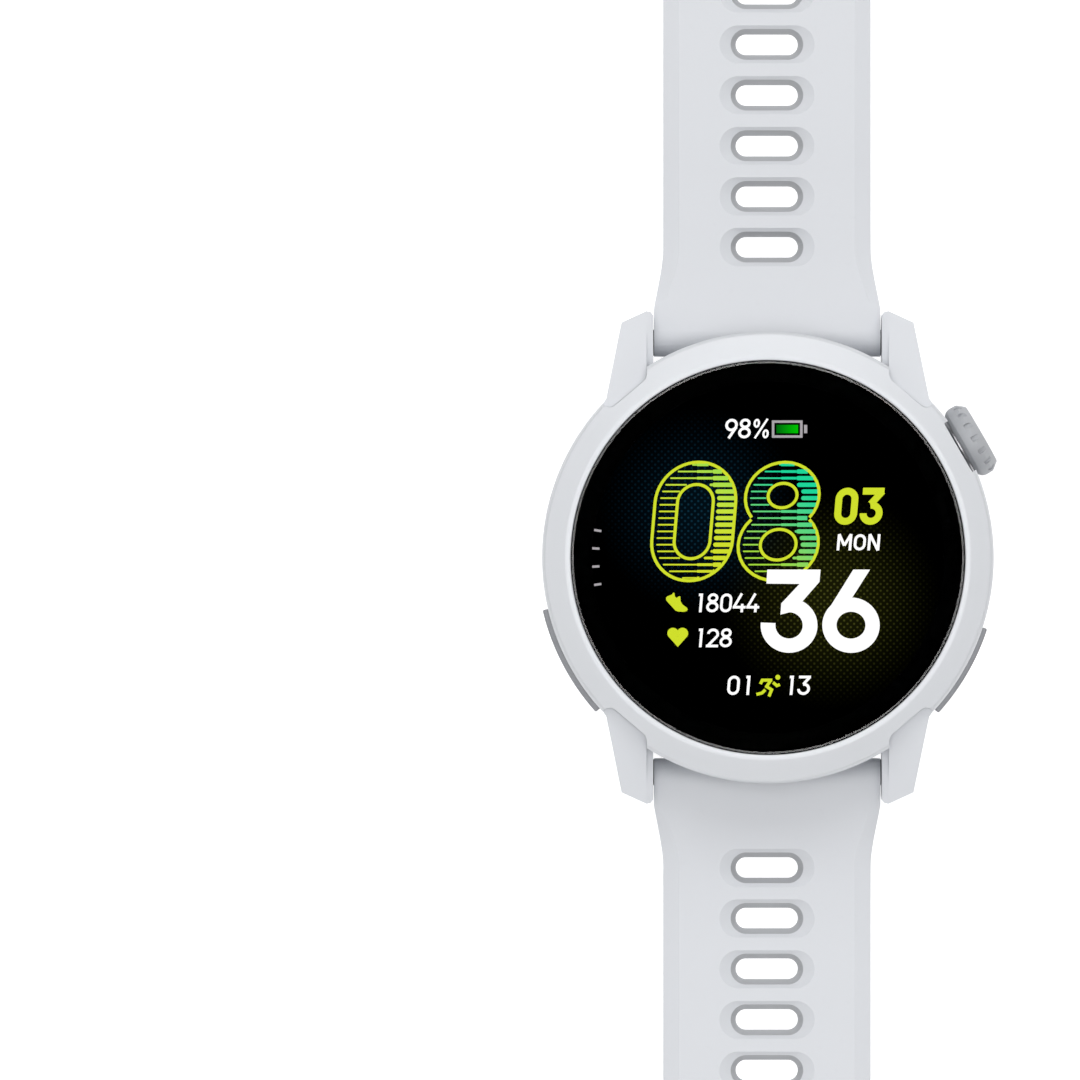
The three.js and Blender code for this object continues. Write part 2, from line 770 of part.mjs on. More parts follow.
// A U-shaped frame: two arms on the pin, and a bowed bar that the tang rests in.
function buckleFrame() {
  const plan = new THREE.Shape();
  plan.moveTo(armOuter, bucklePinY - 1.55);
  plan.lineTo(armOuter, 112.6);
  plan.bezierCurveTo(armOuter, 115.2, 9.6, 115.95, 7.6, 116.28);
  plan.bezierCurveTo(5.0, 116.6, 2.6, buckleEnd, 0, buckleEnd);
  plan.bezierCurveTo(-2.6, buckleEnd, -5.0, 116.6, -7.6, 116.28);
  plan.bezierCurveTo(-9.6, 115.95, -armOuter, 115.2, -armOuter, 112.6);
  plan.lineTo(-armOuter, bucklePinY - 1.55);
  plan.lineTo(-armInner - 0.25, bucklePinY - 2.0);
  plan.lineTo(-armInner, bucklePinY - 1.7);
  plan.lineTo(-armInner, 111.2);
  plan.bezierCurveTo(-armInner, 112.6, -9.1, 113.2, -7.9, 113.42);
  plan.bezierCurveTo(-6.2, 113.7, -4.2, 113.85, -2.85, 113.87);
  plan.lineTo(-2.85, 115.1);
  plan.lineTo(2.85, 115.1);
  plan.lineTo(2.85, 113.87);
  plan.bezierCurveTo(4.2, 113.85, 6.2, 113.7, 7.9, 113.42);
  plan.bezierCurveTo(9.1, 113.2, armInner, 112.6, armInner, 111.2);
  plan.lineTo(armInner, bucklePinY - 1.7);
  plan.lineTo(armInner + 0.25, bucklePinY - 2.0);

  // From the side the arms dip a little between the pin and the bar.
  const side = new THREE.Shape();
  side.moveTo(99.9, 0.9);
  side.quadraticCurveTo(100.6, 0.1, bucklePinY, 0.1);
  side.quadraticCurveTo(108, 0.75, 113, 0.1);
  side.lineTo(117, 0.1);
  side.lineTo(117, 2.2);
  side.quadraticCurveTo(116.4, 3.0, 115, 3.0);
  side.lineTo(113, 2.95);
  side.quadraticCurveTo(108, 2.3, bucklePinY, 3.0);
  side.quadraticCurveTo(100.6, 3.05, 99.9, 2.3);

  const body = solid(plate(plan, -1, 5, 4)).intersect(solid(acrossX(side, -13, 13, 4)));

  // The tang's seat goes only part of the way down through the bar.
  const seatFloor = block(5.6, 1.5, 1.5, 0, 114.6, 0.85);
  const pivots = rod(0.66, -11.2, 11.2).translate(0, bucklePinY, bucklePinZ);
  return cut(body.add(solid(seatFloor)), pivots);
}

// The tang: a knuckle on the pin and a strip that dips, then rises to lie flush in the bar.
function buckleTang() {
  const shape = new THREE.Shape();
  shape.absarc(0, 0, 1.55, radians(22), radians(-22), false);
  shape.lineTo(2.6, -0.62);
  shape.bezierCurveTo(6.0, -0.75, 8.0, -0.05, 10.4, 0.2);
  shape.lineTo(12.75, 0.25);
  shape.lineTo(12.8, 1.2);
  shape.lineTo(11.7, 1.4);
  shape.bezierCurveTo(8.5, 1.3, 6.0, 0.45, 2.6, 0.5);
  const strip = acrossX(shape, -tangHalfWidth, tangHalfWidth, 8);
  return cut(solid(strip), rod(0.95, -4, 4));
}

const bucklePin = new THREE.Group();
bucklePin.position.set(0, bucklePinY, bucklePinZ);
upper.add(bucklePin);
add("buckle_bar_tube", solid(sleeve(tubeBore, tubeRadius, -9.5, 9.5)), steel, bucklePin);
add("buckle_bar_left_tip", buckleBarTip(-1), steel, bucklePin);
add("buckle_bar_right_tip", buckleBarTip(1), steel, bucklePin);
add("buckle_bar_spring", coilSpring(0.38, 0.08, -7.1, 7.1, 7), steel, bucklePin);
add("buckle_tang", buckleTang(), silver, bucklePin);
add("buckle_frame", buckleFrame(), silver, upper);

export default watch;
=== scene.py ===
# %% [markdown]
# # A running watch, laid open on a white table
#
# This notebook dresses a finished CAD model of a sports watch for a picture. The CAD model
# already holds every size, every joint and every hidden part. Here each visible piece gets its
# fine surface: rounded edges, pockets, notches, a lit dial, and a material with the right grain.
#
# Lengths are worked out in millimetres, because a watch is drawn in millimetres. A finished piece
# is scaled to metres once, at the end, so that it lands exactly on the CAD model.

# %% Load the frame
import json
import math

import bmesh
import bpy
from mathutils import Matrix, Vector


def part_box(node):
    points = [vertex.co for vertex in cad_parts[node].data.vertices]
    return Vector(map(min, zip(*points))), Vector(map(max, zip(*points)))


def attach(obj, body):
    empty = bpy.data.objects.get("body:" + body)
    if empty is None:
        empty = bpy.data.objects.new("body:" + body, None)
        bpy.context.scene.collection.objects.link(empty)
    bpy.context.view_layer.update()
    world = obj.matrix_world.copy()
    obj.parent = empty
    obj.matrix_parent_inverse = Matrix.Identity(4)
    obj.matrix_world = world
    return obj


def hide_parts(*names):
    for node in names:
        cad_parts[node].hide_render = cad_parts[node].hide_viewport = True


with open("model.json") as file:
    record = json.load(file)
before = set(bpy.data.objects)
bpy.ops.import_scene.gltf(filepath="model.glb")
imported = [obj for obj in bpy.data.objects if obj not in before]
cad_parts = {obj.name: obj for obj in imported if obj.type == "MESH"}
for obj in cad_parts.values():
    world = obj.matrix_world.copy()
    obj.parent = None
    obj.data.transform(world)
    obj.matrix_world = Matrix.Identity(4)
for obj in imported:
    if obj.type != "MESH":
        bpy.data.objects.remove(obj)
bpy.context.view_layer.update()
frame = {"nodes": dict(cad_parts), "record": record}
MM = 0.001

# %% [markdown]
# ## Driving dimensions
#
# The rest repeat the drawing: where the spring bars lie, how the strap's slots are spaced, and
# how wide its bevels are. The dial is the disc inside the bezel.


# %% Sizes, in millimetres
def box_mm(node):
    low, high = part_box(node)
    return Vector(low) / MM, Vector(high) / MM


_, bezel_high = box_mm("bezel")
BEZEL_RADIUS = bezel_high.x
BEZEL_TOP = bezel_high.z
SCREEN_RADIUS = 18.95
CASE_RADIUS = 21.0
CASE_INSIDE = 18.3
PIN_Y, PIN_Z = 21.35, 3.6
BARREL_RADIUS = 2.0
STRAP_HALF = 10.0
STRAP_LUG_HALF = 10.9
STRAP_THICK = 2.5
STRAP_FLOOR = 0.05
FLARE = (23.9, 29.7)
HOLE_START, HOLE_PITCH = 29.93, 4.89
STRAIGHT_Y = 38.0
TAIL_RISE = 0.0207
BUCKLE_PIN = Vector((0, 102.2, 1.6))
STRAP_END = 104.43
STRAP_END_RADIUS = 1.525
STUD_Y = 134.26
CROWN_ANGLE, CROWN_HEIGHT = 30, 6.3
BUTTON_HEIGHT = 6.4
print(f"bezel {2 * BEZEL_RADIUS:.1f} mm across, top at {BEZEL_TOP:.1f} mm")

# %% [markdown]
# ## Small tools
#
# Most pieces of a watch are turned, extruded or cut, so a few helpers cover most of the work.
# `spun` turns a profile with `bmesh.ops.spin`. `extruded` gives an outline a thickness. `carved`
# cuts one body with others through the Boolean modifier, which is the only exact cutter Blender
# has. `finished` scales a mesh to metres, smooths it, and weights its normals by face area, so
# that a broad flat face stays flat beside its narrow rounded edge.


# %% Outline to body
def new_bmesh():
    return bmesh.new()


def wire(bm, points, closed=True):
    """A chain of edges through the points."""
    verts = [bm.verts.new(p) for p in points]
    pairs = list(zip(verts, verts[1:]))
    if closed:
        pairs.append((verts[-1], verts[0]))
    edges = [bm.edges.new(pair) for pair in pairs]
    return verts, edges


def face_of(points):
    """One flat face with that outline."""
    bm = new_bmesh()
    verts, _ = wire(bm, points)
    bm.faces.new(verts)
    return bm


def tidy(bm, distance=0.0005):
    bmesh.ops.remove_doubles(bm, verts=bm.verts, dist=distance)
    bmesh.ops.dissolve_degenerate(bm, edges=bm.edges, dist=distance / 5)
    bmesh.ops.recalc_face_normals(bm, faces=bm.faces)
    return bm


def extruded(points, along):
    """The outline pushed along a vector."""
    bm = face_of(points)
    grown = bmesh.ops.extrude_face_region(bm, geom=bm.faces[:])["geom"]
    moved = [v for v in grown if isinstance(v, bmesh.types.BMVert)]
    bmesh.ops.translate(bm, verts=moved, vec=along)
    return tidy(bm)


def spun(profile, steps=192):
    """A profile of (radius, height) turned round Z. It is closed, or runs from axis to axis."""
    bm = new_bmesh()
    on_axis = profile[0][0] == 0 and profile[-1][0] == 0
    verts, edges = wire(bm, [(r, 0, z) for r, z in profile], closed=not on_axis)
    bmesh.ops.spin(
        bm, geom=verts + edges, cent=(0, 0, 0), axis=(0, 0, 1), angle=2 * math.pi, steps=steps,
        use_merge=True,
    )
    return tidy(bm)


def block(low, high):
    bm = new_bmesh()
    bmesh.ops.create_cube(bm, size=1)
    low, high = Vector(low), Vector(high)
    bmesh.ops.scale(bm, vec=high - low, verts=bm.verts)
    bmesh.ops.translate(bm, vec=(low + high) / 2, verts=bm.verts)
    return bm


def rod(radius, start, end, segments=48):
    """A plain cylinder between two points."""
    start, end = Vector(start), Vector(end)
    bm = new_bmesh()
    bmesh.ops.create_cone(
        bm, cap_ends=True, segments=segments, radius1=radius, radius2=radius,
        depth=(end - start).length,
    )
    turn = (end - start).to_track_quat("Z", "Y").to_matrix()
    bmesh.ops.rotate(bm, cent=(0, 0, 0), matrix=turn, verts=bm.verts)
    bmesh.ops.translate(bm, vec=(start + end) / 2, verts=bm.verts)
    return bm


def moved(bm, offset=(0, 0, 0), turn=None, axis="Z"):
    """Turns about an axis through the origin, in degrees, then moves."""
    if turn is not None:
        matrix = Matrix.Rotation(math.radians(turn), 3, axis)
        bmesh.ops.rotate(bm, cent=(0, 0, 0), matrix=matrix, verts=bm.verts)
    bmesh.ops.translate(bm, vec=offset, verts=bm.verts)
    return bm


def lying_outwards(bm, angle, height):
    """A body turned round Z is laid along the radius at an angle round the case."""
    moved(bm, turn=90, axis="Y")
    return moved(bm, (0, 0, height), turn=angle, axis="Z")


def arc(centre, radius, start, end, count):
    """Points on an arc, angles in degrees."""
    angles = [math.radians(start + (end - start) * i / count) for i in range(count + 1)]
    return [(centre[0] + radius * math.cos(a), centre[1] + radius * math.sin(a)) for a in angles]


def bezier(start, control1, control2, end, count):
    """Points on a cubic curve, without its first point."""
    points = []
    for i in range(1, count + 1):
        t = i / count
        weights = ((1 - t) ** 3, 3 * t * (1 - t) ** 2, 3 * t * t * (1 - t), t ** 3)
        corners = (start, control1, control2, end)
        points.append(tuple(sum(w * c[k] for w, c in zip(weights, corners)) for k in (0, 1)))
    return points


def rounded_corner(profile, radius, count=4):
    """Rounds every corner of a closed (radius, height) profile."""
    out = []
    for i, here in enumerate(profile):
        here = Vector(here)
        before = Vector(profile[i - 1]) - here
        after = Vector(profile[(i + 1) % len(profile)]) - here
        reach = min(radius, before.length * 0.45, after.length * 0.45)
        start = here + before.normalized() * reach
        end = here + after.normalized() * reach
        for k in range(count + 1):
            t = k / count
            out.append(tuple(start * (1 - t) ** 2 + here * 2 * t * (1 - t) + end * t * t))
    return out


# %% Cutting and joining
def scratch_object(bm, name="scratch"):
    mesh = bpy.data.meshes.new(name)
    bm.to_mesh(mesh)
    bm.free()
    thing = bpy.data.objects.new(name, mesh)
    bpy.context.scene.collection.objects.link(thing)
    return thing


def together(bodies):
    """Bodies that don't touch, as one mesh."""
    whole = new_bmesh()
    for bm in bodies:
        mesh = bpy.data.meshes.new("part")
        bm.to_mesh(mesh)
        bm.free()
        whole.from_mesh(mesh)
        bpy.data.meshes.remove(mesh)
    return whole


def carved(body, tools, operation="DIFFERENCE"):
    """The body cut, joined or kept inside the tools, one after another."""
    base = scratch_object(body)
    helpers = [scratch_object(tool, "tool") for tool in tools]
    for helper in helpers:
        step = base.modifiers.new("cut", "BOOLEAN")
        step.operation = operation
        step.solver = "EXACT"
        step.object = helper
    seen = base.evaluated_get(bpy.context.evaluated_depsgraph_get())
    result = new_bmesh()
    result.from_mesh(seen.to_mesh())
    seen.to_mesh_clear()
    for thing in [base, *helpers]:
        mesh = thing.data
        bpy.data.objects.remove(thing)
        bpy.data.meshes.remove(mesh)
    return tidy(result)


def soften(bm, width, sharper_than=35, segments=2, keep=lambda edge: True):
    """Rounds the sharp edges, as a mould or a tumbling drum leaves them."""
    limit = math.radians(sharper_than)
    edges = [
        e for e in bm.edges
        if len(e.link_faces) == 2 and e.calc_face_angle(0) > limit and keep(e)
    ]
    bmesh.ops.bevel(
        bm, geom=edges, offset=width, segments=segments, profile=0.5, affect="EDGES",
        clamp_overlap=True, material=-1,
    )
    return bm


# %% Finishing a piece
pieces_made = {}


def finished(name, bm, body, material, replaces=(), smooth=40):
    """Scales to metres, smooths, and puts the piece on its body."""
    bmesh.ops.scale(bm, vec=(MM, MM, MM), verts=bm.verts)
    mesh = bpy.data.meshes.new(name)
    bm.to_mesh(mesh)
    bm.free()
    mesh.shade_smooth()
    mesh.set_sharp_from_angle(angle=math.radians(smooth))
    piece = bpy.data.objects.new(name, mesh)
    bpy.context.scene.collection.objects.link(piece)
    weighted = piece.modifiers.new("weighted normals", "WEIGHTED_NORMAL")
    weighted.mode = "FACE_AREA"
    weighted.weight = 90
    weighted.keep_sharp = True
    mesh.materials.append(material)
    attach(piece, body)
    if replaces:
        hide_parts(*replaces)
    pieces_made[name] = len(mesh.polygons)
    print(f"{name}: {len(mesh.polygons)} faces on {body}")
    return piece


# %% [markdown]
# ## Camera and studio
#
# A product picture from straight above has almost no perspective, so the camera stands high with
# a very long lens. The table glows like a light table, so it turns pure white. The tent above it
# is brightest straight overhead, where it has one small dark opening for the camera. The flat
# glass mirrors only that opening, which keeps it black, while flat faces stay brighter than
# slanted ones.

# %% Camera
PICTURE_WIDTH = 103.68 * MM
PICTURE_CENTRE = Vector((-21.89, 1.68, 0)) * MM
CAMERA_HEIGHT = 2.0

camera = bpy.data.objects.new("camera", bpy.data.cameras.new("camera"))
camera.data.sensor_width = 36
top_of_case = BEZEL_TOP * MM
camera.data.lens = camera.data.sensor_width * (CAMERA_HEIGHT - top_of_case) / PICTURE_WIDTH
camera.data.clip_start, camera.data.clip_end = 0.1, 10
camera.location = PICTURE_CENTRE + Vector((0, 0, CAMERA_HEIGHT))
bpy.context.scene.collection.objects.link(camera)
bpy.context.scene.camera = camera
bpy.context.scene.view_settings.view_transform = "Standard"
print(f"lens {camera.data.lens:.0f} mm")


# %% Wiring of a shader
class Wiring:
    """Adds nodes to a tree and joins them, so that a formula reads like one."""

    def __init__(self, tree):
        self.nodes, self.links = tree.nodes, tree.links

    def feed(self, socket, value):
        """A socket takes either another node's output or a plain number."""
        if isinstance(value, bpy.types.NodeSocket):
            self.links.new(value, socket)
        else:
            socket.default_value = value

    def math(self, operation, *values):
        node = self.nodes.new("ShaderNodeMath")
        node.operation = operation
        for socket, value in zip(node.inputs, values):
            self.feed(socket, value)
        return node.outputs[0]

    def scaled(self, vector, factor):
        node = self.nodes.new("ShaderNodeVectorMath")
        node.operation = "SCALE"
        self.feed(node.inputs[0], vector)
        self.feed(node.inputs["Scale"], factor)
        return node.outputs["Vector"]

    def step(self, value, start, end, before=0.0, after=1.0, shape="LINEAR"):
        """Goes from before to after while the value goes from start to end."""
        node = self.nodes.new("ShaderNodeMapRange")
        node.interpolation_type = shape
        names = ("From Min", "From Max", "To Min", "To Max")
        for name, number in zip(names, (start, end, before, after)):
            node.inputs[name].default_value = number
        self.links.new(value, node.inputs["Value"])
        return node.outputs["Result"]

    def place(self, kind="Object"):
        return self.nodes.new("ShaderNodeTexCoord").outputs[kind]

    def split(self, vector):
        node = self.nodes.new("ShaderNodeSeparateXYZ")
        self.links.new(vector, node.inputs[0])
        return node.outputs


# %% Table, sky and lamps
def plain_material(name, color, roughness, metallic=0.0):
    material = bpy.data.materials.new(name)
    material.use_nodes = True
    shader = material.node_tree.nodes["Principled BSDF"]
    shader.inputs["Base Color"].default_value = (*color, 1)
    shader.inputs["Roughness"].default_value = roughness
    shader.inputs["Metallic"].default_value = metallic
    return material, shader


def make_table():
    bm = new_bmesh()
    bmesh.ops.create_grid(bm, x_segments=1, y_segments=1, size=4)
    table = scratch_object(bm, "table")
    table.location.z = -0.0002
    material, shader = plain_material("white table", (0.5, 0.5, 0.5), 0.9)
    shader.inputs["Emission Color"].default_value = (1, 1, 1, 1)
    shader.inputs["Emission Strength"].default_value = 0.75
    shader.inputs["Specular IOR Level"].default_value = 0.1
    table.data.materials.append(material)


def make_sky(around, overhead):
    """Brighter overhead, with an opening straight up. Heights are sines of the elevation."""
    world = bpy.data.worlds.new("studio tent")
    world.use_nodes = True
    net = Wiring(world.node_tree)
    height = net.split(net.place("Generated"))["Z"]
    light = net.step(height, 0.94, 0.965, around, overhead)
    opening = net.step(height, 0.9955, 0.9975, 1.0, 0.0)
    background = net.nodes["Background"]
    background.inputs["Color"].default_value = (1, 1, 1, 1)
    net.feed(background.inputs["Strength"], net.math("MULTIPLY", light, opening))
    bpy.context.scene.world = world


def softbox(name, position, size, power):
    data = bpy.data.lights.new(name, "AREA")
    data.shape = "RECTANGLE"
    data.size, data.size_y = size
    data.energy = power
    lamp = bpy.data.objects.new(name, data)
    lamp.location = position
    lamp.rotation_mode = "QUATERNION"
    lamp.rotation_quaternion = (-Vector(position)).to_track_quat("-Z", "Y")
    bpy.context.scene.collection.objects.link(lamp)


make_table()
make_sky(0.47, 4.0)
softbox("lamp above twelve", (0.0, 1.3, 1.5), (2.0, 0.8), 15)
softbox("lamp below six", (-0.1, -1.75, 0.8), (1.0, 1.0), 6)
softbox("lamp left", (-1.5, 0.2, 1.2), (0.9, 0.9), 1.5)
softbox("lamp right", (1.5, 0.0, 1.2), (0.9, 0.9), 1.5)
print("studio ready")

# %% [markdown]
# ## Grain that several finishes share
#
# Silicone, satin metal and moulded plastic all have a fine grain, a slow change of tone where
# hands have polished them, and a few specks of dust. One node group makes all three, and each
# material gives it its own scale and strength. It puts out a colour, a roughness and a bump
# height.


# %% The shared grain group
def make_grain_group():
    group = bpy.data.node_groups.new("fine grain", "ShaderNodeTree")
    face = group.interface
    defaults = {
        "Colour": None, "Tone change": 0.03, "Patch scale": 120.0, "Grain scale": 5000.0,
        "Roughness": 0.5, "Roughness change": 0.06, "Dust": 0.02,
    }
    for name, value in defaults.items():
        kind = "NodeSocketColor" if value is None else "NodeSocketFloat"
        socket = face.new_socket(name=name, in_out="INPUT", socket_type=kind)
        if value is not None:
            socket.default_value = value
    face.new_socket(name="Colour", in_out="OUTPUT", socket_type="NodeSocketColor")
    face.new_socket(name="Roughness", in_out="OUTPUT", socket_type="NodeSocketFloat")
    face.new_socket(name="Height", in_out="OUTPUT", socket_type="NodeSocketFloat")
    net = Wiring(group)
    inside, outside = net.nodes.new("NodeGroupInput"), net.nodes.new("NodeGroupOutput")

    def noise(scale_socket, detail, scale_factor=1.0):
        texture = net.nodes.new("ShaderNodeTexNoise")
        texture.inputs["Detail"].default_value = detail
        net.feed(texture.inputs["Vector"], net.place())
        scale = net.math("MULTIPLY", inside.outputs[scale_socket], scale_factor)
        net.feed(texture.inputs["Scale"], scale)
        return texture.outputs["Fac"]

    patches = net.math("SUBTRACT", noise("Patch scale", 3), 0.5)
    specks = net.math("GREATER_THAN", noise("Grain scale", 0, 0.35), 0.79)
    dusty = net.math("MULTIPLY", specks, inside.outputs["Dust"])
    tone = net.math("MULTIPLY_ADD", patches, inside.outputs["Tone change"], 1.0)
    value = net.math("SUBTRACT", tone, dusty)
    rough = net.math("MULTIPLY_ADD", patches, inside.outputs["Roughness change"],
                     inside.outputs["Roughness"])
    net.feed(outside.inputs["Colour"], net.scaled(inside.outputs["Colour"], value))
    net.feed(outside.inputs["Roughness"], rough)
    net.feed(outside.inputs["Height"], noise("Grain scale", 2))
    return group


grain_group = make_grain_group()


BUMP_DEPTH = 0.05 * MM


def grained(name, color, roughness, metallic=0.0, bump=0.05, grain=5000.0, tone=0.03,
            dust=0.01, coat=0.0, specular=0.5):
    """A material with the shared grain in its colour, roughness and bump."""
    material, shader = plain_material(name, color, roughness, metallic)
    net = Wiring(material.node_tree)
    group = net.nodes.new("ShaderNodeGroup")
    group.node_tree = grain_group
    settings = {"Colour": (*color, 1), "Tone change": tone, "Grain scale": grain,
                "Roughness": roughness, "Dust": dust}
    for socket, value in settings.items():
        group.inputs[socket].default_value = value
    height = net.nodes.new("ShaderNodeBump")
    height.inputs["Strength"].default_value = bump
    height.inputs["Distance"].default_value = BUMP_DEPTH
    net.feed(shader.inputs["Base Color"], group.outputs["Colour"])
    net.feed(shader.inputs["Roughness"], group.outputs["Roughness"])
    net.feed(height.inputs["Height"], group.outputs["Height"])
    net.feed(shader.inputs["Normal"], height.outputs["Normal"])
    shader.inputs["Coat Weight"].default_value = coat
    shader.inputs["Specular IOR Level"].default_value = specular
    return material


# %% [markdown]
# ## The finishes
#
# Each finish is named for the part that wears it. The strap is matt silicone with a barely
# visible skin. The bezel is satin metal, bead-blasted so finely that it looks like pale
# porcelain. The crown and the buckle are a darker, duller metal. Hidden parts get believable
# workshop finishes too.

# %% Finishes
strap_silicone = grained("strap silicone", (0.615, 0.63, 0.66), 0.55, bump=0.10, grain=4500,
                         tone=0.02,
                         specular=0.6)
bezel_satin = grained("bezel satin", (0.60, 0.615, 0.64), 0.45, metallic=0.25, bump=0.06,
                      grain=9000)
case_polymer = grained("case polymer", (0.62, 0.635, 0.665), 0.48, bump=0.08, grain=7000)
crown_metal = grained("crown metal", (0.40, 0.41, 0.43), 0.6, metallic=0.2, bump=0.05, grain=9000)
button_metal = grained("button metal", (0.27, 0.275, 0.29), 0.46, metallic=0.5, bump=0.05,
                       grain=9000)
buckle_metal = grained("buckle metal", (0.38, 0.385, 0.40), 0.5, metallic=0.2, bump=0.08,
                       grain=8000)
pin_steel = grained("pin steel", (0.33, 0.33, 0.34), 0.32, metallic=1.0, bump=0.03, grain=6000)
stud_plastic = grained("stud plastic", (0.43, 0.435, 0.47), 0.45, bump=0.04, grain=6000)
sensor_black = grained("sensor black", (0.006, 0.006, 0.007), 0.07, bump=0.0, coat=0.4)
display_black = grained("display black", (0.0006, 0.0006, 0.0008), 0.5, bump=0.0, dust=0.0,
                        specular=0.0)
seal_rubber = grained("seal rubber", (0.02, 0.02, 0.021), 0.7, bump=0.12, grain=6000)
inner_plastic = grained("inner plastic", (0.03, 0.03, 0.034), 0.5, bump=0.1, grain=5000)
contact_gold = grained("contact gold", (0.85, 0.62, 0.28), 0.25, metallic=1.0, bump=0.02)
circuit_green = grained("circuit green", (0.02, 0.10, 0.055), 0.45, bump=0.15, grain=2500, coat=0.3)
battery_foil = grained("battery foil", (0.45, 0.46, 0.48), 0.35, metallic=0.9, bump=0.3, grain=1200)


cover_glass, glass_shader = plain_material("cover glass", (1, 1, 1), 0.0)
glass_shader.inputs["Transmission Weight"].default_value = 1.0
glass_shader.inputs["IOR"].default_value = 1.45


def darken_where(material, attribute, share):
    """Takes a share of the base colour away where the piece's own attribute is 1."""
    net = Wiring(material.node_tree)
    base = net.nodes["Principled BSDF"].inputs["Base Color"]
    painted = base.links[0].from_socket
    mark = net.nodes.new("ShaderNodeAttribute")
    mark.attribute_name = attribute
    left = net.math("MULTIPLY_ADD", mark.outputs["Fac"], -share, 1.0)
    net.feed(base, net.scaled(painted, left))


# Painted shade: the strap's base colour is darker on the steep walls of its slots, where shade
# falls.
darken_where(strap_silicone, "painted slot shade", 0.34)

FINISH_OF_SLOT = {
    "case_polymer": case_polymer, "bezel_metal": bezel_satin, "clear_glass": cover_glass,
    "seal_rubber": seal_rubber, "display_black": display_black, "antenna_metal": contact_gold,
    "inner_plastic": inner_plastic, "circuit_board": circuit_green, "battery_foil": battery_foil,
    "hidden_steel": pin_steel, "control_metal": crown_metal, "buckle_metal": buckle_metal,
    "strap_silicone": strap_silicone, "stud_plastic": stud_plastic,
}
slot_of_node = {row["node"]: row["material_slot"] for row in frame["record"]["subparts"]}
for node, thing in frame["nodes"].items():
    finish = FINISH_OF_SLOT[slot_of_node[node]]
    for index in range(len(thing.material_slots)):
        thing.material_slots[index].material = finish
print(len(slot_of_node), "CAD nodes have a finish")

# %% [markdown]
# ## The straps
#
# A strap like this is moulded in one shot of silicone. From the side it wraps a barrel round the
# spring bar and sweeps down to the wrist. From above it flares at the lugs. Modelling it as a
# solid and bending it is awkward, so it starts as a flat sheet with the right plan, gets cross
# cuts where it must bend, and then every vertex is lifted to the side profile. The second face is
# the same sheet, extruded and lowered. The slots are cut last, with one tapered tool each.


# %% Side profile of a strap
TOP_LEAVES, BOTTOM_LEAVES = 70, 258  # degrees round the barrel where each face leaves it
BOTTOM_FLAT_Y = 36.0
SWELL = (95.0, 100.5)


def on_barrel(angle):
    return (
        PIN_Y + BARREL_RADIUS * math.cos(math.radians(angle)),
        PIN_Z + BARREL_RADIUS * math.sin(math.radians(angle)),
    )


def sweep(y, angle, end_y, level):
    """Height of the face that leaves the barrel at a tangent and flattens out at end_y."""
    start_y, start_z = on_barrel(angle)
    meet_y = start_y + (start_z - level) * math.tan(math.radians(angle))
    a = start_y - 2 * meet_y + end_y
    b = 2 * (meet_y - start_y)
    c = start_y - y
    t = (-b + math.sqrt(max(0, b * b - 4 * a * c))) / (2 * a) if abs(a) > 1e-9 else -c / b
    return start_z * (1 - t) ** 2 + 2 * level * t * (1 - t) + level * t * t


def ease(value, low, high):
    t = min(1, max(0, (value - low) / (high - low)))
    return t * t * (3 - 2 * t)


def tail_height(y):
    return max(0, y - STRAIGHT_Y) * TAIL_RISE


def top_height(y, half):
    """Height of the top face of the 'upper' or 'lower' strap at that distance from the case."""
    if y < on_barrel(TOP_LEAVES)[0]:
        return PIN_Z + math.sqrt(max(0, BARREL_RADIUS ** 2 - (y - PIN_Y) ** 2))
    level = STRAP_FLOOR + STRAP_THICK
    if y < STRAIGHT_Y:
        return sweep(y, TOP_LEAVES, STRAIGHT_Y, level)
    if half == "lower":
        return level + tail_height(y)
    thick = level + (2 * STRAP_END_RADIUS - STRAP_THICK) * ease(y, *SWELL)
    return min(thick, rounded_end(y, 1))


def bottom_height(y, half):
    if y < on_barrel(BOTTOM_LEAVES)[0]:
        return PIN_Z - math.sqrt(max(0, BARREL_RADIUS ** 2 - (y - PIN_Y) ** 2))
    if y < BOTTOM_FLAT_Y:
        return sweep(y, BOTTOM_LEAVES, BOTTOM_FLAT_Y, STRAP_FLOOR)
    if half == "lower":
        return STRAP_FLOOR + tail_height(y)
    return max(STRAP_FLOOR, rounded_end(y, -1))


def rounded_end(y, side):
    centre_y = STRAP_END - STRAP_END_RADIUS
    centre_z = STRAP_FLOOR + STRAP_END_RADIUS
    rise = math.sqrt(max(0, STRAP_END_RADIUS ** 2 - max(0, y - centre_y) ** 2))
    return centre_z + side * rise


# %% Plan of a strap
FLARE_CURVE = bezier((STRAP_LUG_HALF, FLARE[0]), (10.6, 25.8), (10.03, 27.9),
                     (STRAP_HALF, FLARE[1]), 12)


def strap_plan(half):
    """The right half outline from the barrel to the far end, then its mirror image."""
    right = [(STRAP_LUG_HALF, PIN_Y - BARREL_RADIUS), (STRAP_LUG_HALF, FLARE[0]), *FLARE_CURVE]
    if half == "lower":
        right += arc((4.35, 135.4), STRAP_HALF - 4.35, 0, 71.6, 12)
        right += arc((0, 122.3), 19.4, 71.6, 90, 10)[1:]
        left = right[-2::-1]
    else:
        right += [(STRAP_HALF, STRAP_END - 0.5), (STRAP_HALF - 0.35, STRAP_END - 0.12)]
        right += [(STRAP_HALF - 0.7, STRAP_END), (3.15, STRAP_END), (2.88, STRAP_END - 0.3)]
        right += [(2.83, 100.85), (2.5, 100.53)]
        left = right[::-1]
    return [(x, y, 0) for x, y in right] + [(-x, y, 0) for x, y in left]


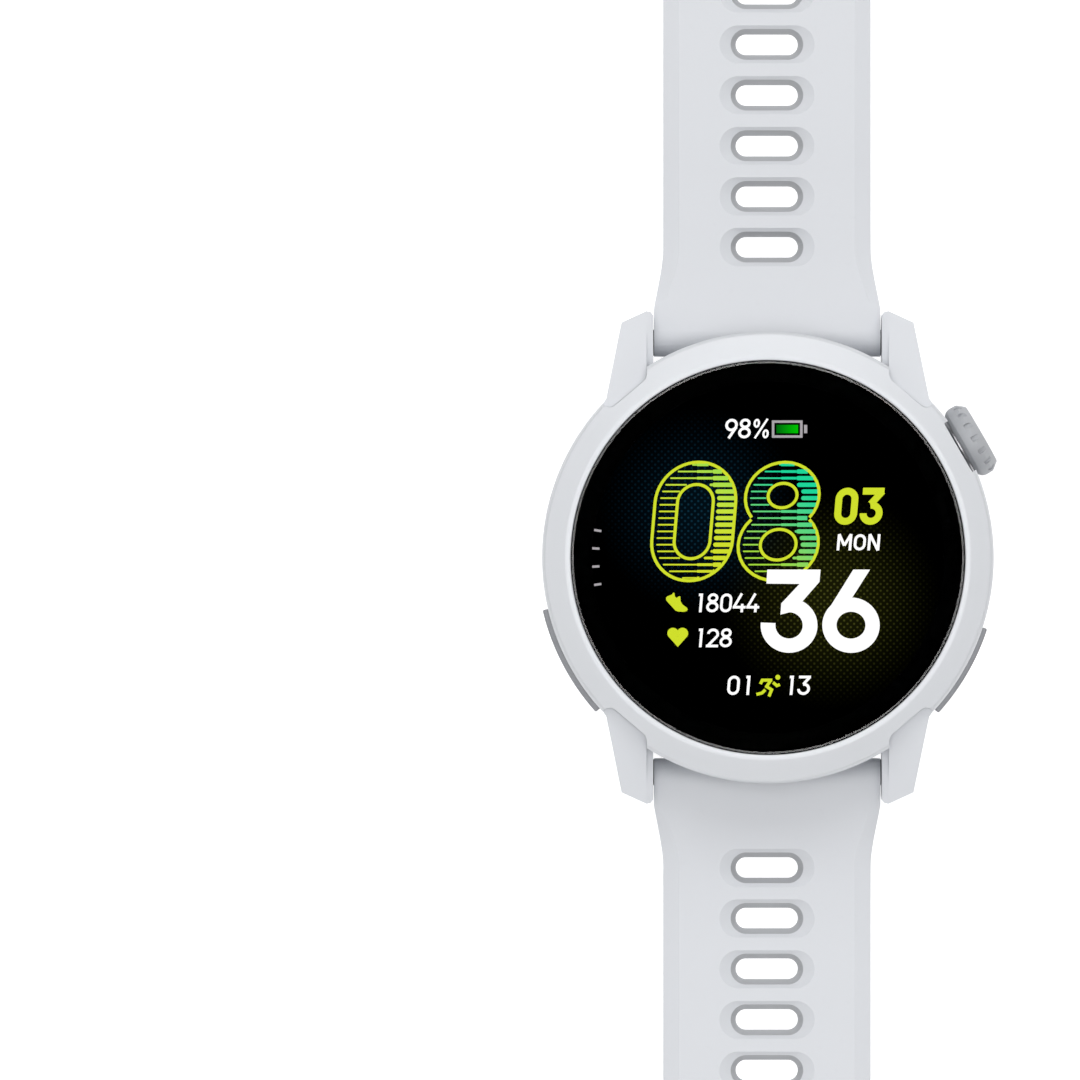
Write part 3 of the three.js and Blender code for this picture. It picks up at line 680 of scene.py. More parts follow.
def strap_stations(half):
    """Where the sheet needs a cross cut to bend: round the barrel, down the sweep, at the end."""
    round_barrel = [PIN_Y - BARREL_RADIUS * math.cos(math.radians(a)) for a in range(8, 112, 8)]
    sweep_cuts = [22.6, 23.2, FLARE[0]] + [y for _,
                                           y in FLARE_CURVE] + [30.5 + i * 0.8 for i in range(10)]
    if half == "lower":
        return round_barrel + sweep_cuts
    swell = [SWELL[0] + i * 0.6 for i in range(10)]
    centre = STRAP_END - STRAP_END_RADIUS
    end_cuts = [centre + STRAP_END_RADIUS * math.sin(math.radians(a)) for a in range(0, 90, 9)]
    return round_barrel + sweep_cuts + swell + end_cuts


# %% A strap's slot: a dished pocket, then a tapered hole
RING_SEGMENTS = 48


def stadium_ring(bm, length, width, height):
    """A ring of edges shaped like a running track."""
    ring = bmesh.ops.create_circle(bm, segments=RING_SEGMENTS, radius=width / 2)["verts"]
    half_step = Matrix.Rotation(math.pi / RING_SEGMENTS, 3, "Z")
    bmesh.ops.rotate(bm, cent=(0, 0, 0), matrix=half_step, verts=ring)
    for vert in ring:
        vert.co.x += math.copysign((length - width) / 2, vert.co.x)
        vert.co.z = height
    return list({edge for vert in ring for edge in vert.link_edges})


def stacked(rings):
    """Rings of (length, width, height) joined into one closed body."""
    bm = new_bmesh()
    loops = [stadium_ring(bm, *ring) for ring in rings]
    for low, high in zip(loops, loops[1:]):
        bmesh.ops.bridge_loops(bm, edges=low + high)
    for loop in (loops[0], loops[-1]):
        bmesh.ops.contextual_create(bm, geom=loop)
    return tidy(bm)


SLOT_RINGS = [
    (6.0, 1.98, -3.4), (6.0, 1.98, -2.2), (7.0, 2.98, -0.55), (9.15, 3.64, 0.0), (9.75, 3.82, 0.12),
]
DISH_RING = 2


def slot_cutter(y, half):
    """The dish is deep at its two ends and shallow between them, and follows the strap's slope."""
    slope = top_height(y + 0.5, half) - top_height(y - 0.5, half)
    cutter = stacked(SLOT_RINGS)
    for vert in cutter.verts:
        if abs(vert.co.z - SLOT_RINGS[DISH_RING][2]) < 0.01:
            vert.co.z *= 0.25 + 0.75 * (vert.co.x / 3.5) ** 2
        if vert.co.z > -1:
            vert.co.z += vert.co.y * slope
    return moved(cutter, (0, y, top_height(y, half)))


# %% Build one strap
BEVEL_WIDTH, BEVEL_DROP = 1.52, 0.47
BEVEL_STARTS = (22, 27)
BEVEL_FADES = (95.3, 99.6)
BAR_BORE = 0.95


def bevel_drop(y, half):
    """How far the outer edge lies below the face: it fades out at the lugs and at the buckle."""
    drop = BEVEL_DROP * ease(y, *BEVEL_STARTS)
    if half == "upper":
        drop *= 1 - ease(y, *BEVEL_FADES)
    return drop


def narrow_bevel(sheet):
    """Near the lugs the bevel is half as wide, and inner points lie level with outer ones."""
    for edge in sheet.edges:
        outer, inner = sorted(edge.verts, key=lambda vert: not vert.is_boundary)
        if inner.is_boundary or not outer.is_boundary or outer.co.y > STRAIGHT_Y:
            continue
        width = BEVEL_WIDTH * (0.5 + 0.5 * ease(outer.co.y, BEVEL_STARTS[0], FLARE[1]))
        inner.co.x = math.copysign(abs(outer.co.x) - width, outer.co.x)
        if outer.co.y > PIN_Y:
            inner.co.y = outer.co.y


def strap_body(half, holes):
    sheet = face_of(strap_plan(half))
    sheet.normal_update()
    bmesh.ops.inset_region(sheet, faces=sheet.faces[:], thickness=BEVEL_WIDTH, use_boundary=True)
    narrow_bevel(sheet)
    for y in strap_stations(half):
        bmesh.ops.bisect_plane(
            sheet, geom=sheet.verts[:] + sheet.edges[:] + sheet.faces[:], dist=1e-4,
            plane_co=(0, y, 0), plane_no=(0, 1, 0),
        )
    rim = {v for e in sheet.edges if e.is_boundary for v in e.verts}
    top = list(sheet.verts)
    plan_y = {v: v.co.y for v in top}
    grown = bmesh.ops.extrude_face_region(sheet, geom=sheet.faces[:], use_keep_orig=True)["geom"]
    bottom = [g for g in grown if isinstance(g, bmesh.types.BMVert)]
    for vert in bottom:
        vert.co.z = bottom_height(vert.co.y, half)
    for vert in top:
        lowered = bevel_drop(plan_y[vert], half) if vert in rim else 0
        vert.co.z = top_height(plan_y[vert], half) - lowered
    body = tidy(sheet, 0.002)
    soften(body, 0.22, sharper_than=50, segments=8, keep=lambda e: not on_round_end(e, half))
    cutters = [slot_cutter(HOLE_START + i * HOLE_PITCH, half) for i in range(holes)]
    bore = rod(BAR_BORE, (-12, PIN_Y, PIN_Z), (12, PIN_Y, PIN_Z))
    lever_window = block((-8.9, PIN_Y - 1.2, 0.8), (-5.5, PIN_Y + 1.2, 3.0))
    tools = [together(cutters), bore, lever_window]
    if half == "upper":
        tools.append(rod(BAR_BORE, (-12, *BUCKLE_PIN.yz), (12, *BUCKLE_PIN.yz)))
    else:
        tools.append(stud_seat())
    return mark_slot_wall_shade(carved(body, tools), holes)


def mark_slot_wall_shade(bm, holes):
    """Marks the steep walls of the slots, where the material paints shade: a darker base colour
    stands in for the shade inside the slots.
    """
    mark = bm.faces.layers.float.new("painted slot shade")
    for face in bm.faces:
        middle = face.calc_center_median()
        index = min(holes - 1, max(0, round((middle.y - HOLE_START) / HOLE_PITCH)))
        near = abs(middle.x) < 3.55 and abs(middle.y - HOLE_START - index * HOLE_PITCH) < 1.55
        face[mark] = 1.0 if near and abs(face.normal.z) < 0.75 else 0.0
    return bm


def on_round_end(edge, half):
    """Edges of the barrel and of the buckle end run across and are round already."""
    across = abs((edge.verts[0].co - edge.verts[1].co).normalized().x) > 0.95
    y = edge.verts[0].co.y
    return across and (y < 23 or (half == "upper" and y > 101.5))


def at_stud(bm):
    top = top_height(STUD_Y, "lower")
    return moved(bm, (0, STUD_Y, top), turn=math.degrees(math.atan(TAIL_RISE)), axis="X")


def stud_seat():
    return at_stud(stacked([(5.5, 1.8, -4), (5.5, 1.8, -0.95), (10.2, 5.0, -0.94),
                            (10.2, 5.0, -0.05),
                            (10.5, 5.3, 0.1), (10.5, 5.3, 1)]))


for half, holes, turn in (("upper", 14, 0), ("lower", 21, 180)):
    finished(f"{half}_strap_silicone", moved(strap_body(half, holes), turn=turn), f"{half}_strap",
             strap_silicone, [f"{half}_strap"], smooth=13)

# %% Dark collars by the spring bars: painted shade in the gap between strap and lug
COLLAR_RADIUS, COLLAR_THICK = 1.25, 0.07
COLLAR_Y = PIN_Y - 0.65
for half, side in (("upper", 1), ("lower", -1)):
    inner, outer = STRAP_LUG_HALF, STRAP_LUG_HALF + COLLAR_THICK
    collars = [rod(COLLAR_RADIUS, (x * inner, side * COLLAR_Y, PIN_Z),
                   (x * outer, side * COLLAR_Y, PIN_Z))
               for x in (1, -1)]
    # Painted shade: dark rubber discs fill the narrow gap beside the strap, where it lies in shade.
    finished(f"{half}_bar_shade_collars", together(collars), f"{half}_strap", seal_rubber)

# %% [markdown]
# ## The locking stud
#
# A pill-shaped button near the tail's tip snaps into a slot of the other strap and holds the tail
# down. It is moulded on its own and pressed into the strap, which is why a fine seam runs round
# it. Its head, neck and bulb are a stack of running-track rings joined with `bridge_loops`.

# %% Stud
STUD_RINGS = [
    (5.3, 1.3, -4.45), (6.0, 2.0, -4.36), (6.2, 2.2, -4.1), (6.2, 2.2, -3.6), (5.4, 1.7, -3.25),
    (5.4, 1.7, -0.9), (9.9, 4.7, -0.9), (10.1, 4.9, -0.8), (10.1, 4.9, -0.14), (10.0, 4.8, -0.05),
    (9.8, 4.6, 0.0),
]
stud = moved(at_stud(stacked(STUD_RINGS)), turn=180)
finished("locking_stud_plastic", stud, "lower_strap", stud_plastic,
         ["locking_stud"], smooth=50)

# %% [markdown]
# ## Bezel
#
# The bezel is turned on a lathe: a wide cone that falls outwards, a narrow flat rim round the
# glass and a straight wall. So it starts as a spun profile. Four notches are then milled through
# it for the raised lug ends, and a scoop with a flat above it makes room for the crown.

# %% Bezel
BEZEL_PROFILE = [
    (21.1, 8.4), (BEZEL_RADIUS, 8.4), (BEZEL_RADIUS, 11.0), (21.45, 11.3), (19.45, BEZEL_TOP),
    (SCREEN_RADIUS, BEZEL_TOP), (SCREEN_RADIUS, 10.35), (17.9, 10.35), (17.9, 10.0), (18.35, 10.0),
    (18.35, 8.95), (21.1, 8.95),
]
NOTCH = [(11.65, 26), (11.65, 17.55), (11.83, 17.06), (14.64, 14.69), (14.92, 14.5), (15.23, 14.43),
         (15.54, 14.5), (15.81, 14.69), (16.1, 14.9), (20, 14.9), (20, 26)]
LUG_CORNERS = [(1, 1), (-1, 1), (-1, -1), (1, -1)]


def mirrored(points, signs, shift=0.0):
    return [(signs[0] * (x - shift), signs[1] * (y - shift)) for x, y in points]


def notch_tool(signs, shift, low, high):
    return extruded([(x, y, low) for x, y in mirrored(NOTCH, signs, shift)], (0, 0, high - low))


BEZEL_SCOOP, CASE_SCOOP = (3.95, 20.85), (4.0, 20.75)


def at_crown(bm):
    return lying_outwards(bm, CROWN_ANGLE, CROWN_HEIGHT)


def crown_scoop(radius, floor):
    """A round hollow for the crown, from its floor outwards."""
    return at_crown(rod(radius, (0, 0, floor), (0, 0, 26), 96))


def crown_room():
    flat = moved(block((21.07, -2.7, 2), (26, 2.7, 8)), (0, 0, CROWN_HEIGHT), turn=CROWN_ANGLE)
    return [crown_scoop(*BEZEL_SCOOP), flat]


def on_turned_edge(edge):
    """True where both ends have the same radius and height, so the lathe has rounded it already."""
    a, b = (v.co for v in edge.verts)
    return abs(a.xy.length - b.xy.length) < 0.01 and abs(a.z - b.z) < 0.01


ring = spun(rounded_corner(BEZEL_PROFILE, 0.14))
milled = carved(ring, [notch_tool(signs, 0.02, 8, 14) for signs in LUG_CORNERS] + crown_room())

finished("bezel_ring", milled, "case", bezel_satin, ["bezel"], smooth=50)

# %% [markdown]
# ## Case ring and lugs
#
# The case is a moulded ring with four lugs that reach out to hold the straps. Each lug is drawn
# twice, once from above and once from the side, and the solid is what the two extrusions have in
# common. Above the ring only the part in the bezel's notch stands up, so a third shape trims it.
# A slanted tool then cuts the long chamfer along the inner edge, which catches a thin band of
# light.

# %% One lug
LUG_FALL = math.tan(math.radians(18))
LUG_PLAN = [(11, 12), (11, 23.3), (11.25, 23.62), (11.65, 23.7), (14.04, 22.6), (15.5, 15.3),
            (15.88, 14.73), (16.2, 12)]


def lug_top(y):
    return 10.5 - LUG_FALL * (y - 15)


def lug(signs):
    plan = extruded([(x, y, 0) for x, y in mirrored(LUG_PLAN, signs)], (0, 0, 14))
    side = [(12, 1.35), (15, 1.35), (22.3, 1.75), (22.9, 2.2), (23.7, 7.4), (23.7, lug_top(23.7)),
            (12, lug_top(12))]
    side_tool = extruded([(9.5, signs[1] * y, z) for y, z in side], (8, 0, 0))
    if signs[0] < 0:
        moved(side_tool, (-27, 0, 0))
    trim = carved(notch_tool(signs, 0, 8.3, 14), [block((-30, -30, 0), (30, 30, 8.35))], "UNION")
    body = carved(plan, [side_tool, trim], "INTERSECT")
    near, far = 10, 26
    slant = [(signs[0] * x, signs[1] * near, lug_top(near) + z) for x, z in
             ((10.6, -0.6), (12.0, 0.2), (10.6, 0.4))]
    along = Vector((0, signs[1] * (far - near), lug_top(far) - lug_top(near)))
    return carved(body, [extruded(slant, along)])


# %% The ring, its pockets and the four lugs
def sector(inner, outer, middle, span, low, high):
    """A curved block round the case, between two radii and two heights."""
    count = 40
    points = arc((0, 0), outer, middle - span / 2, middle + span / 2, count)
    points += arc((0, 0), inner, middle + span / 2, middle - span / 2, count)
    return extruded([(x, y, low) for x, y in points], (0, 0, high - low))


BACK_BUTTON = (-30.15, 24.3)
ACTION_BUTTON = (207.6, 28.8)
BUTTON_POCKET_RADII, BUTTON_POCKET_HEIGHTS = (20.55, 22.6), (4.9, 7.9)
POCKET_EXTRA = 1.2
CASE_PROFILE = [
    (CASE_INSIDE, 2.75), (19.5, 2.75), (19.5, 1.35), (20.3, 1.35), (CASE_RADIUS, 2.2),
    (CASE_RADIUS, 8.9), (CASE_INSIDE, 8.9),
]
case_ring = spun(rounded_corner(CASE_PROFILE, 0.18))
hollow = spun([(0, 0), (19.5, 0), (19.5, 2.75), (CASE_INSIDE, 2.75), (CASE_INSIDE, 14), (0, 14)])
case = carved(case_ring, [lug(signs) for signs in LUG_CORNERS], "UNION")
gaps = [block((-11, 19.1, -1), (11, 27.1, 8)), block((-11, -27.1, -1), (11, -19.1, 8))]
CROWN_HOLE, BUTTON_HOLE, BAR_HOLE = 1.55, 0.97, 0.5


def through_wall(radius):
    """A round hole through the wall of the case, for a stem."""
    return rod(radius, (0, 0, 17), (0, 0, 22))


pockets = [crown_scoop(*CASE_SCOOP), at_crown(through_wall(CROWN_HOLE))]
for angle, span in (BACK_BUTTON, ACTION_BUTTON):
    pockets.append(sector(*BUTTON_POCKET_RADII, angle, span + POCKET_EXTRA, *BUTTON_POCKET_HEIGHTS))
    pockets.append(lying_outwards(through_wall(BUTTON_HOLE), angle, BUTTON_HEIGHT))
for side in (1, -1):
    pockets.append(rod(BAR_HOLE, (-12.1, side * PIN_Y, PIN_Z), (12.1, side * PIN_Y, PIN_Z)))
case = carved(case, [hollow, *gaps, *pockets])
tidy(case, 0.01)
soften(case, 0.1, segments=3, keep=lambda e: not on_turned_edge(e) and e.calc_length() > 0.05)
finished("case_body", case, "case", case_polymer, ["mid_case"], smooth=50)

# %% [markdown]
# ## Glass and its printed border
#
# The glass is one thick turned disc with a small ground chamfer at its rim. A real watch hides
# the glue, the gasket and the edge of the screen behind a black ring printed on the glass's inner
# face, so a thin black ring lies just under the glass here.

# %% Glass, border and small marks
glass = spun([(0, 10.65), (18.75, 10.65), (18.86, 10.76), (18.86, 11.47), (18.67, 11.545),
              (0, 11.545)])
finished("cover_glass", glass, "case", cover_glass, ["lens"], smooth=15)
border = spun([(16.9, 10.625), (18.76, 10.625), (18.76, 10.645), (16.9, 10.645)])
finished("printed_border", border, "case", display_black)
edge_seal = spun([(18.87, 10.75), (18.94, 10.75), (18.94, 11.48), (18.87, 11.42)])
finished("glass_edge_seal", edge_seal, "case", display_black)

# %% [markdown]
# ## What the dial shows
#
# The screen shows the time in two styles: hollow hours filled with lines, and solid white
# minutes. Round them stand the date, the battery, and a few counts. All of it glows. Every figure
# is built of two simple outlines, a straight bar and a curved band, which is how a geometric
# typeface is drawn. The figures lie as very thin solids on the screen, just under the glass, and
# lean a little.

# %% Bars, bands and a small drawn typeface
INK_LEVEL = 10.56
INK_THICK = 0.02


def inked(points):
    return extruded([(x, y, INK_LEVEL) for x, y in points], (0, 0, INK_THICK))


def bar(start, end, width):
    start, end = Vector(start), Vector(end)
    side = (end - start).orthogonal().normalized() * width / 2
    return inked([start + side, end + side, end - side, start - side])


def oval(centre, reach, start, end, count=24):
    angles = [math.radians(start + (end - start) * i / count) for i in range(count + 1)]
    return [(centre[0] + reach[0] * math.cos(a),
             centre[1] + reach[1] * math.sin(a)) for a in angles]


def band(centre, outer, width, start, end):
    """A curved stroke: outer reach across and up, and the width of its line."""
    inner = (outer[0] - width, outer[1] - width)
    return inked(oval(centre, outer, start, end) + oval(centre, inner, end, start))


def loop(centre, outer, width):
    return [band(centre, outer, width, 0, 180), band(centre, outer, width, 180, 360)]


def glyph(character, wide, tall, line):
    """One character in a cell of that size, with its corner at the origin."""
    cx, r = wide / 2, wide / 2
    edge = line / 2
    if character in "0O":
        parts = [band((cx, tall - r), (r, r), line, 0, 180), band((cx, r), (r, r), line, 180, 360)]
        parts += [bar((x, r), (x, tall - r), line) for x in (edge, wide - edge)]
    elif character == "1":
        x = wide * 0.55
        parts = [bar((x, 0), (x, tall), line),
                 bar((x, tall - edge), (x - wide * 0.42, tall - edge), line)]
    elif character == "2":
        parts = [band((cx, tall - r), (r, r), line, -20, 170), bar((0, edge), (wide, edge), line)]
        parts.append(bar((edge * 1.3, edge), (wide * 0.86, tall - r * 1.25), line))
    elif character == "3":
        parts = [bar((wide * 0.06, tall - edge), (wide, tall - edge), line)]
        parts.append(bar((wide * 0.92, tall - edge), (wide * 0.45, tall * 0.56), line))
        parts.append(band((cx, tall * 0.31), (r, tall * 0.31), line, -180, 100))
    elif character == "4":
        parts = [bar((0, tall * 0.27), (wide, tall * 0.27), line),
                 bar((wide * 0.72, 0), (wide * 0.72, tall * 0.45), line)]
        parts.append(bar((edge * 0.9, tall * 0.27), (wide * 0.62, tall), line))
    elif character == "8":
        parts = loop((cx, tall * 0.29), (r, tall * 0.29), line)
        parts += loop((cx, tall * 0.76), (r * 0.86, tall * 0.25), line)
    elif character == "9":
        parts = loop((cx, tall * 0.68), (r, tall * 0.32), line)
        parts.append(bar((wide * 0.9, tall * 0.58), (wide * 0.35, 0), line))
    elif character == "M":
        parts = [bar((x, 0), (x, tall), line) for x in (edge, wide - edge)]
        parts += [bar((x, tall), (cx, tall * 0.3), line) for x in (edge, wide - edge)]
    elif character == "N":
        parts = [bar((x, 0), (x, tall), line) for x in (edge, wide - edge)]
        parts.append(bar((edge, tall), (wide - edge, 0), line))
    else:
        parts = loop((wide * 0.2, tall * 0.77), (wide * 0.2, tall * 0.23), line * 0.8)
        parts += loop((wide * 0.8, tall * 0.23), (wide * 0.2, tall * 0.23), line * 0.8)
        parts.append(bar((wide * 0.15, 0), (wide * 0.85, tall), line * 0.8))
    return together(parts)


LEAN = 0.085


def leaned(bm, foot):
    for vert in bm.verts:
        vert.co.x += (vert.co.y - foot) * LEAN
    return bm


def word(text, foot, tall, line, places):
    """Characters on a line, each with its own left edge and width."""
    parts = [moved(glyph(character, wide, tall, line), (left, foot, 0))
             for character, (left, wide) in zip(text, places)]
    return leaned(together(parts), foot)


# %% [markdown]
# The lit colours come from emission, so the screen looks the same in any studio. The hour figures
# fade from yellow to green across the screen: the material reads Object coordinates and mixes
# between the two colours with a ramp.

# %% Lit finishes
def lit(name, color, strength=1.0):
    material, shader = plain_material(name, (0, 0, 0), 0.6)
    shader.inputs["Specular IOR Level"].default_value = 0.0
    shader.inputs["Emission Color"].default_value = (*color, 1)
    shader.inputs["Emission Strength"].default_value = strength
    return material


def faded(name, direction, stops):
    """A glow whose colour follows the distance along a direction, in millimetres."""
    material = lit(name, (1, 1, 1))
    net = Wiring(material.node_tree)
    dot = net.nodes.new("ShaderNodeVectorMath")
    dot.operation = "DOT_PRODUCT"
    dot.inputs[1].default_value = Vector((*direction, 0)).normalized() / MM
    net.feed(dot.inputs[0], net.place())
    start, end = stops[0][0], stops[-1][0]
    ramp = net.nodes.new("ShaderNodeValToRGB")
    for index, (at, color) in enumerate(stops):
        position = (at - start) / (end - start)
        elements = ramp.color_ramp.elements
        if index >= 2:
            elements.new(position)
        elements[index].position = position
        elements[index].color = (*color, 1)
    net.feed(ramp.inputs["Fac"], net.step(dot.outputs["Value"], start, end))
    net.feed(net.nodes["Principled BSDF"].inputs["Emission Color"], ramp.outputs["Color"])
    return material


def halftone(name, pitch, pools):
    """Faint dots on a black screen, in two round pools of (centre, reach, colour)."""
    material = lit(name, (0, 0, 0))
    net = Wiring(material.node_tree)
    place = net.place()
    axes = net.split(place)
    per_metre = 2 * math.pi / (pitch * MM)
    waves = [net.math("COSINE", net.math("MULTIPLY", axes[axis], per_metre)) for axis in "XY"]
    dots = net.step(net.math("MULTIPLY", *waves), 0.25, 0.85, shape="SMOOTHSTEP")
    strength = net.math("MULTIPLY_ADD", dots, 0.85, 0.15)
    glows = []
    for centre, reach, color in pools:
        away = net.nodes.new("ShaderNodeVectorMath")
        away.operation = "DISTANCE"
        away.inputs[1].default_value = Vector((*centre, INK_LEVEL)) * MM
        net.feed(away.inputs[0], place)
        near = net.step(away.outputs["Value"], reach * MM, 0.0, shape="SMOOTHSTEP")
        glows.append(net.scaled(color, net.math("MULTIPLY", near, strength)))
    both = net.nodes.new("ShaderNodeVectorMath")
    for socket, glow in zip(both.inputs, glows):
        net.feed(socket, glow)
    net.feed(net.nodes["Principled BSDF"].inputs["Emission Color"], both.outputs["Vector"])
    return material


lit_dots = halftone("lit dots", 0.637, [((-6.5, 4.5), 10.5, (0.004, 0.028, 0.05)),
                                        ((6, -4), 11.0, (0.06, 0.065, 0.01))])
frame["nodes"]["display_panel"].material_slots[0].material = lit_dots
YELLOW = (0.67, 0.79, 0.028)
lit_white = lit("lit white", (1, 1, 1), 1.12)
lit_yellow = lit("lit yellow", YELLOW)
lit_grey = lit("lit grey", (0.42, 0.40, 0.42))
lit_hour_left = faded("lit hour left", (0.55, 1),
                      [(-1, YELLOW), (2.0, (0.60, 0.82, 0.05)), (5.3, (0.37, 0.79, 0.08))])
lit_hour_right = faded("lit hour right", (0.6, 1),
                       [(-0.3, (0.39, 0.75, 0.05)), (3.5, (0.13, 0.72, 0.21)),
                                                    (7.3, (0.013, 0.72, 0.34))])
lit_charge = faded("lit charge", (1, 0), [(0.7, (0.0, 0.10, 0.005)), (3.0, (0.0, 0.60, 0.0))])

def on_dial(name, bm, glow):
    return finished(name, bm, "case", glow)


# %% The hollow hours: outline and lines
HATCH_PITCH = 0.639
HATCH_TOP = 8.897
LINE_STEPS = (0.15, 0.25, 0.41)


def rounded_bar(left, right, height, width):
    """A line with a round left end."""
    points = [(right, height - width / 2), (right, height + width / 2)]
    points += arc((left + width / 2, height), width / 2, 90, 270, 6)
    return inked(points)


LINE_GAPS = (0.3, 0.05)  # what a line leaves free at the left and adds at the right


def hatch(rows, steps, middle_of, half_of, hole_of):
    """Lines that grow thicker to the right, between an outline and the hole inside it."""
    parts = []
    for row in range(rows):
        height = HATCH_TOP - row * HATCH_PITCH
        centre, half = middle_of(height), half_of(height)
        if half is None:
            continue
        left, right = centre - half + LINE_GAPS[0], centre + half + LINE_GAPS[1]
        hole = hole_of(height)
        spans = [(left, right)] if hole is None else [(left, hole[0]), (hole[1], right)]
        for start, end in spans:
            cuts = [start] + [s for s in steps if start < s < end] + [end]
            for a, b in zip(cuts, cuts[1:]):
                middle = (a + b) / 2
                width = LINE_STEPS[sum(middle > s for s in steps)]
                parts.append(rounded_bar(a, b, height, width))
    return together(parts)


def oval_half(centre, reach, height):
    """Half the width of an oval at a height, or nothing outside it."""
    rise = (height - centre[1]) / reach[1]
    return None if abs(rise) >= 1 else reach[0] * math.sqrt(1 - rise * rise)


# %% The hollow nought
NOUGHT_X, NOUGHT_FOOT, NOUGHT_TOP = -7.62, -2.38, 9.30
NOUGHT_HALF = 4.02
NOUGHT_HOLE = (-0.26, 7.16, 1.72)
STROKE = 0.29


def track(centre_x, half, foot, top, stroke):
    """An upright racing-track outline drawn with a stroke."""
    r = half
    parts = [band((centre_x, top - r), (r, r), stroke, 0, 180),
             band((centre_x, foot + r), (r, r), stroke, 180, 360)]
    for side in (-1, 1):
        x = centre_x + side * (half - stroke / 2)
        parts.append(bar((x, foot + r), (x, top - r), stroke))
    return parts


def track_half(half, foot, top, height):
    if height <= foot or height >= top:
        return None
    if height > top - half:
        return math.sqrt(max(0, half ** 2 - (height - top + half) ** 2))
    if height < foot + half:
        return math.sqrt(max(0, half ** 2 - (foot + half - height) ** 2))
    return half


def nought_middle(height):
    return NOUGHT_X + LEAN * (height - NOUGHT_FOOT)


def nought_half(height):
    return track_half(NOUGHT_HALF - STROKE, NOUGHT_FOOT + STROKE, NOUGHT_TOP - STROKE, height)


def nought_hole(height):
    half = track_half(NOUGHT_HOLE[2] + 0.1, NOUGHT_HOLE[0] - 0.1, NOUGHT_HOLE[1] + 0.1, height)
    if half is None:
        return None
    return nought_middle(height) - half, nought_middle(height) + half + 0.25


nought = track(NOUGHT_X, NOUGHT_HALF, NOUGHT_FOOT, NOUGHT_TOP, STROKE)
nought += track(NOUGHT_X, NOUGHT_HOLE[2] + STROKE / 2, NOUGHT_HOLE[0], NOUGHT_HOLE[1], STROKE)
nought_lines = hatch(18, (-6.875, -5.363), nought_middle, nought_half, nought_hole)

# %% The hollow eight
UPPER_LOBE = ((1.2, 5.87), (3.68, 3.42))
LOWER_LOBE = ((1.2, 1.25), (3.99, 3.63))
WAIST = 3.75
UPPER_HOLE = ((1.22, 5.95), (1.53, 1.32))
LOWER_HOLE = ((1.2, 1.23), (1.86, 1.62))


def lobe_band(lobe, upper):
    """The arc of one lobe that shows, from waist to waist."""
    centre, reach = lobe
    angle = math.degrees(math.asin((WAIST - centre[1]) / reach[1]))
    return (angle, 180 - angle) if upper else (180 - angle, 360 + angle)


def eight_middle(height, x=LOWER_LOBE[0][0]):
    return x + (height - WAIST) * LEAN


def eight_half(height):
    centre, reach = UPPER_LOBE if height > WAIST else LOWER_LOBE
    return oval_half(centre, (reach[0] - STROKE, reach[1] - STROKE), height)


def eight_hole(height):
    for centre, reach in (UPPER_HOLE, LOWER_HOLE):
        half = oval_half(centre, (reach[0] + 0.05, reach[1] + 0.05), height)
        if half is not None:
            middle = eight_middle(height, centre[0])
            return middle - half, middle + half + 0.25
    return None


eight = [band(*lobe, STROKE, *lobe_band(lobe, upper)) for lobe,
         upper in ((UPPER_LOBE, True), (LOWER_LOBE, False))]
for hole in (UPPER_HOLE, LOWER_HOLE):
    eight += loop(*hole, STROKE)
eight_lines = hatch(18, (1.212, 2.709), eight_middle, eight_half, eight_hole)

outlines = together([leaned(together(nought), NOUGHT_FOOT), leaned(together(eight), WAIST)])
on_dial("hour_outlines", outlines, lit_yellow)
on_dial("hour_lines_left", nought_lines, lit_hour_left)
on_dial("hour_lines_right", eight_lines, lit_hour_right)

# %% The solid minutes
def big_three():
    centre, outer, inner = (2.03, -6.52), (2.73, 2.63), (1.31, 1.26)
    points = [(-0.06, -1.16), (5.06, -1.16), (4.95, -2.34), (3.31, -4.22)]
    points += oval(centre, outer, 58, -186, 40)
    points += oval(centre, inner, -190, 88, 40)
    points += [(1.20, -5.49), (1.28, -4.41), (3.04, -2.54), (-0.14, -2.51)]
    return inked(points)


def big_six():
    centre, outer, inner = (7.98, -6.5), (2.76, 2.66), (1.39, 1.34)
    stem = inked([(8.20, -1.16), (9.81, -1.16), (8.12, -3.82), (7.0, -4.4), (5.45, -5.6),
                  (5.7, -5.17)])
    return [stem, *[band(centre, outer, outer[0] - inner[0], start, start + 180) for start in (0,
            180)]]


OVER_THE_HOURS = 0.022
minutes = moved(together([big_three(), *big_six()]), (0, 0, OVER_THE_HOURS))
on_dial("minutes", minutes, lit_white)

# %% Date, battery and counts
white_words = [
    word("98%", 11.45, 1.87, 0.26, ((-4.2, 1.2), (-2.9, 1.2), (-1.5, 1.55))),
    word("MON", 0.68, 1.56, 0.26, ((6.59, 1.4), (8.19, 1.15), (9.54, 1.15))),
    word("18044", -5.26, 1.8, 0.25, ((-6.84, 0.62), (-5.97, 1.17), (-4.65, 1.12), (-3.42, 1.24),
                                     (-2.12, 1.24))),
    word("128", -8.62, 1.8, 0.25, ((-6.84, 0.62), (-5.97, 1.17), (-4.69, 1.17))),
    word("01", -13.2, 1.85, 0.26, ((-3.96, 1.17), (-2.29, 0.62))),
    word("13", -13.2, 1.85, 0.26, ((1.88, 0.62), (2.77, 1.22))),
]
on_dial("white_figures", together(white_words), lit_white)
date = word("03", 3.14, 3.56, 0.66, ((6.28, 2.2), (8.72, 2.2)))
heart = [inked(oval((-9.12 + x, -7.28), (0.54, 0.53), -40, 320)) for x in (0, 0.92)]
heart.append(inked([(-9.57, -7.57), (-7.75, -7.57), (-8.66, -8.59)]))
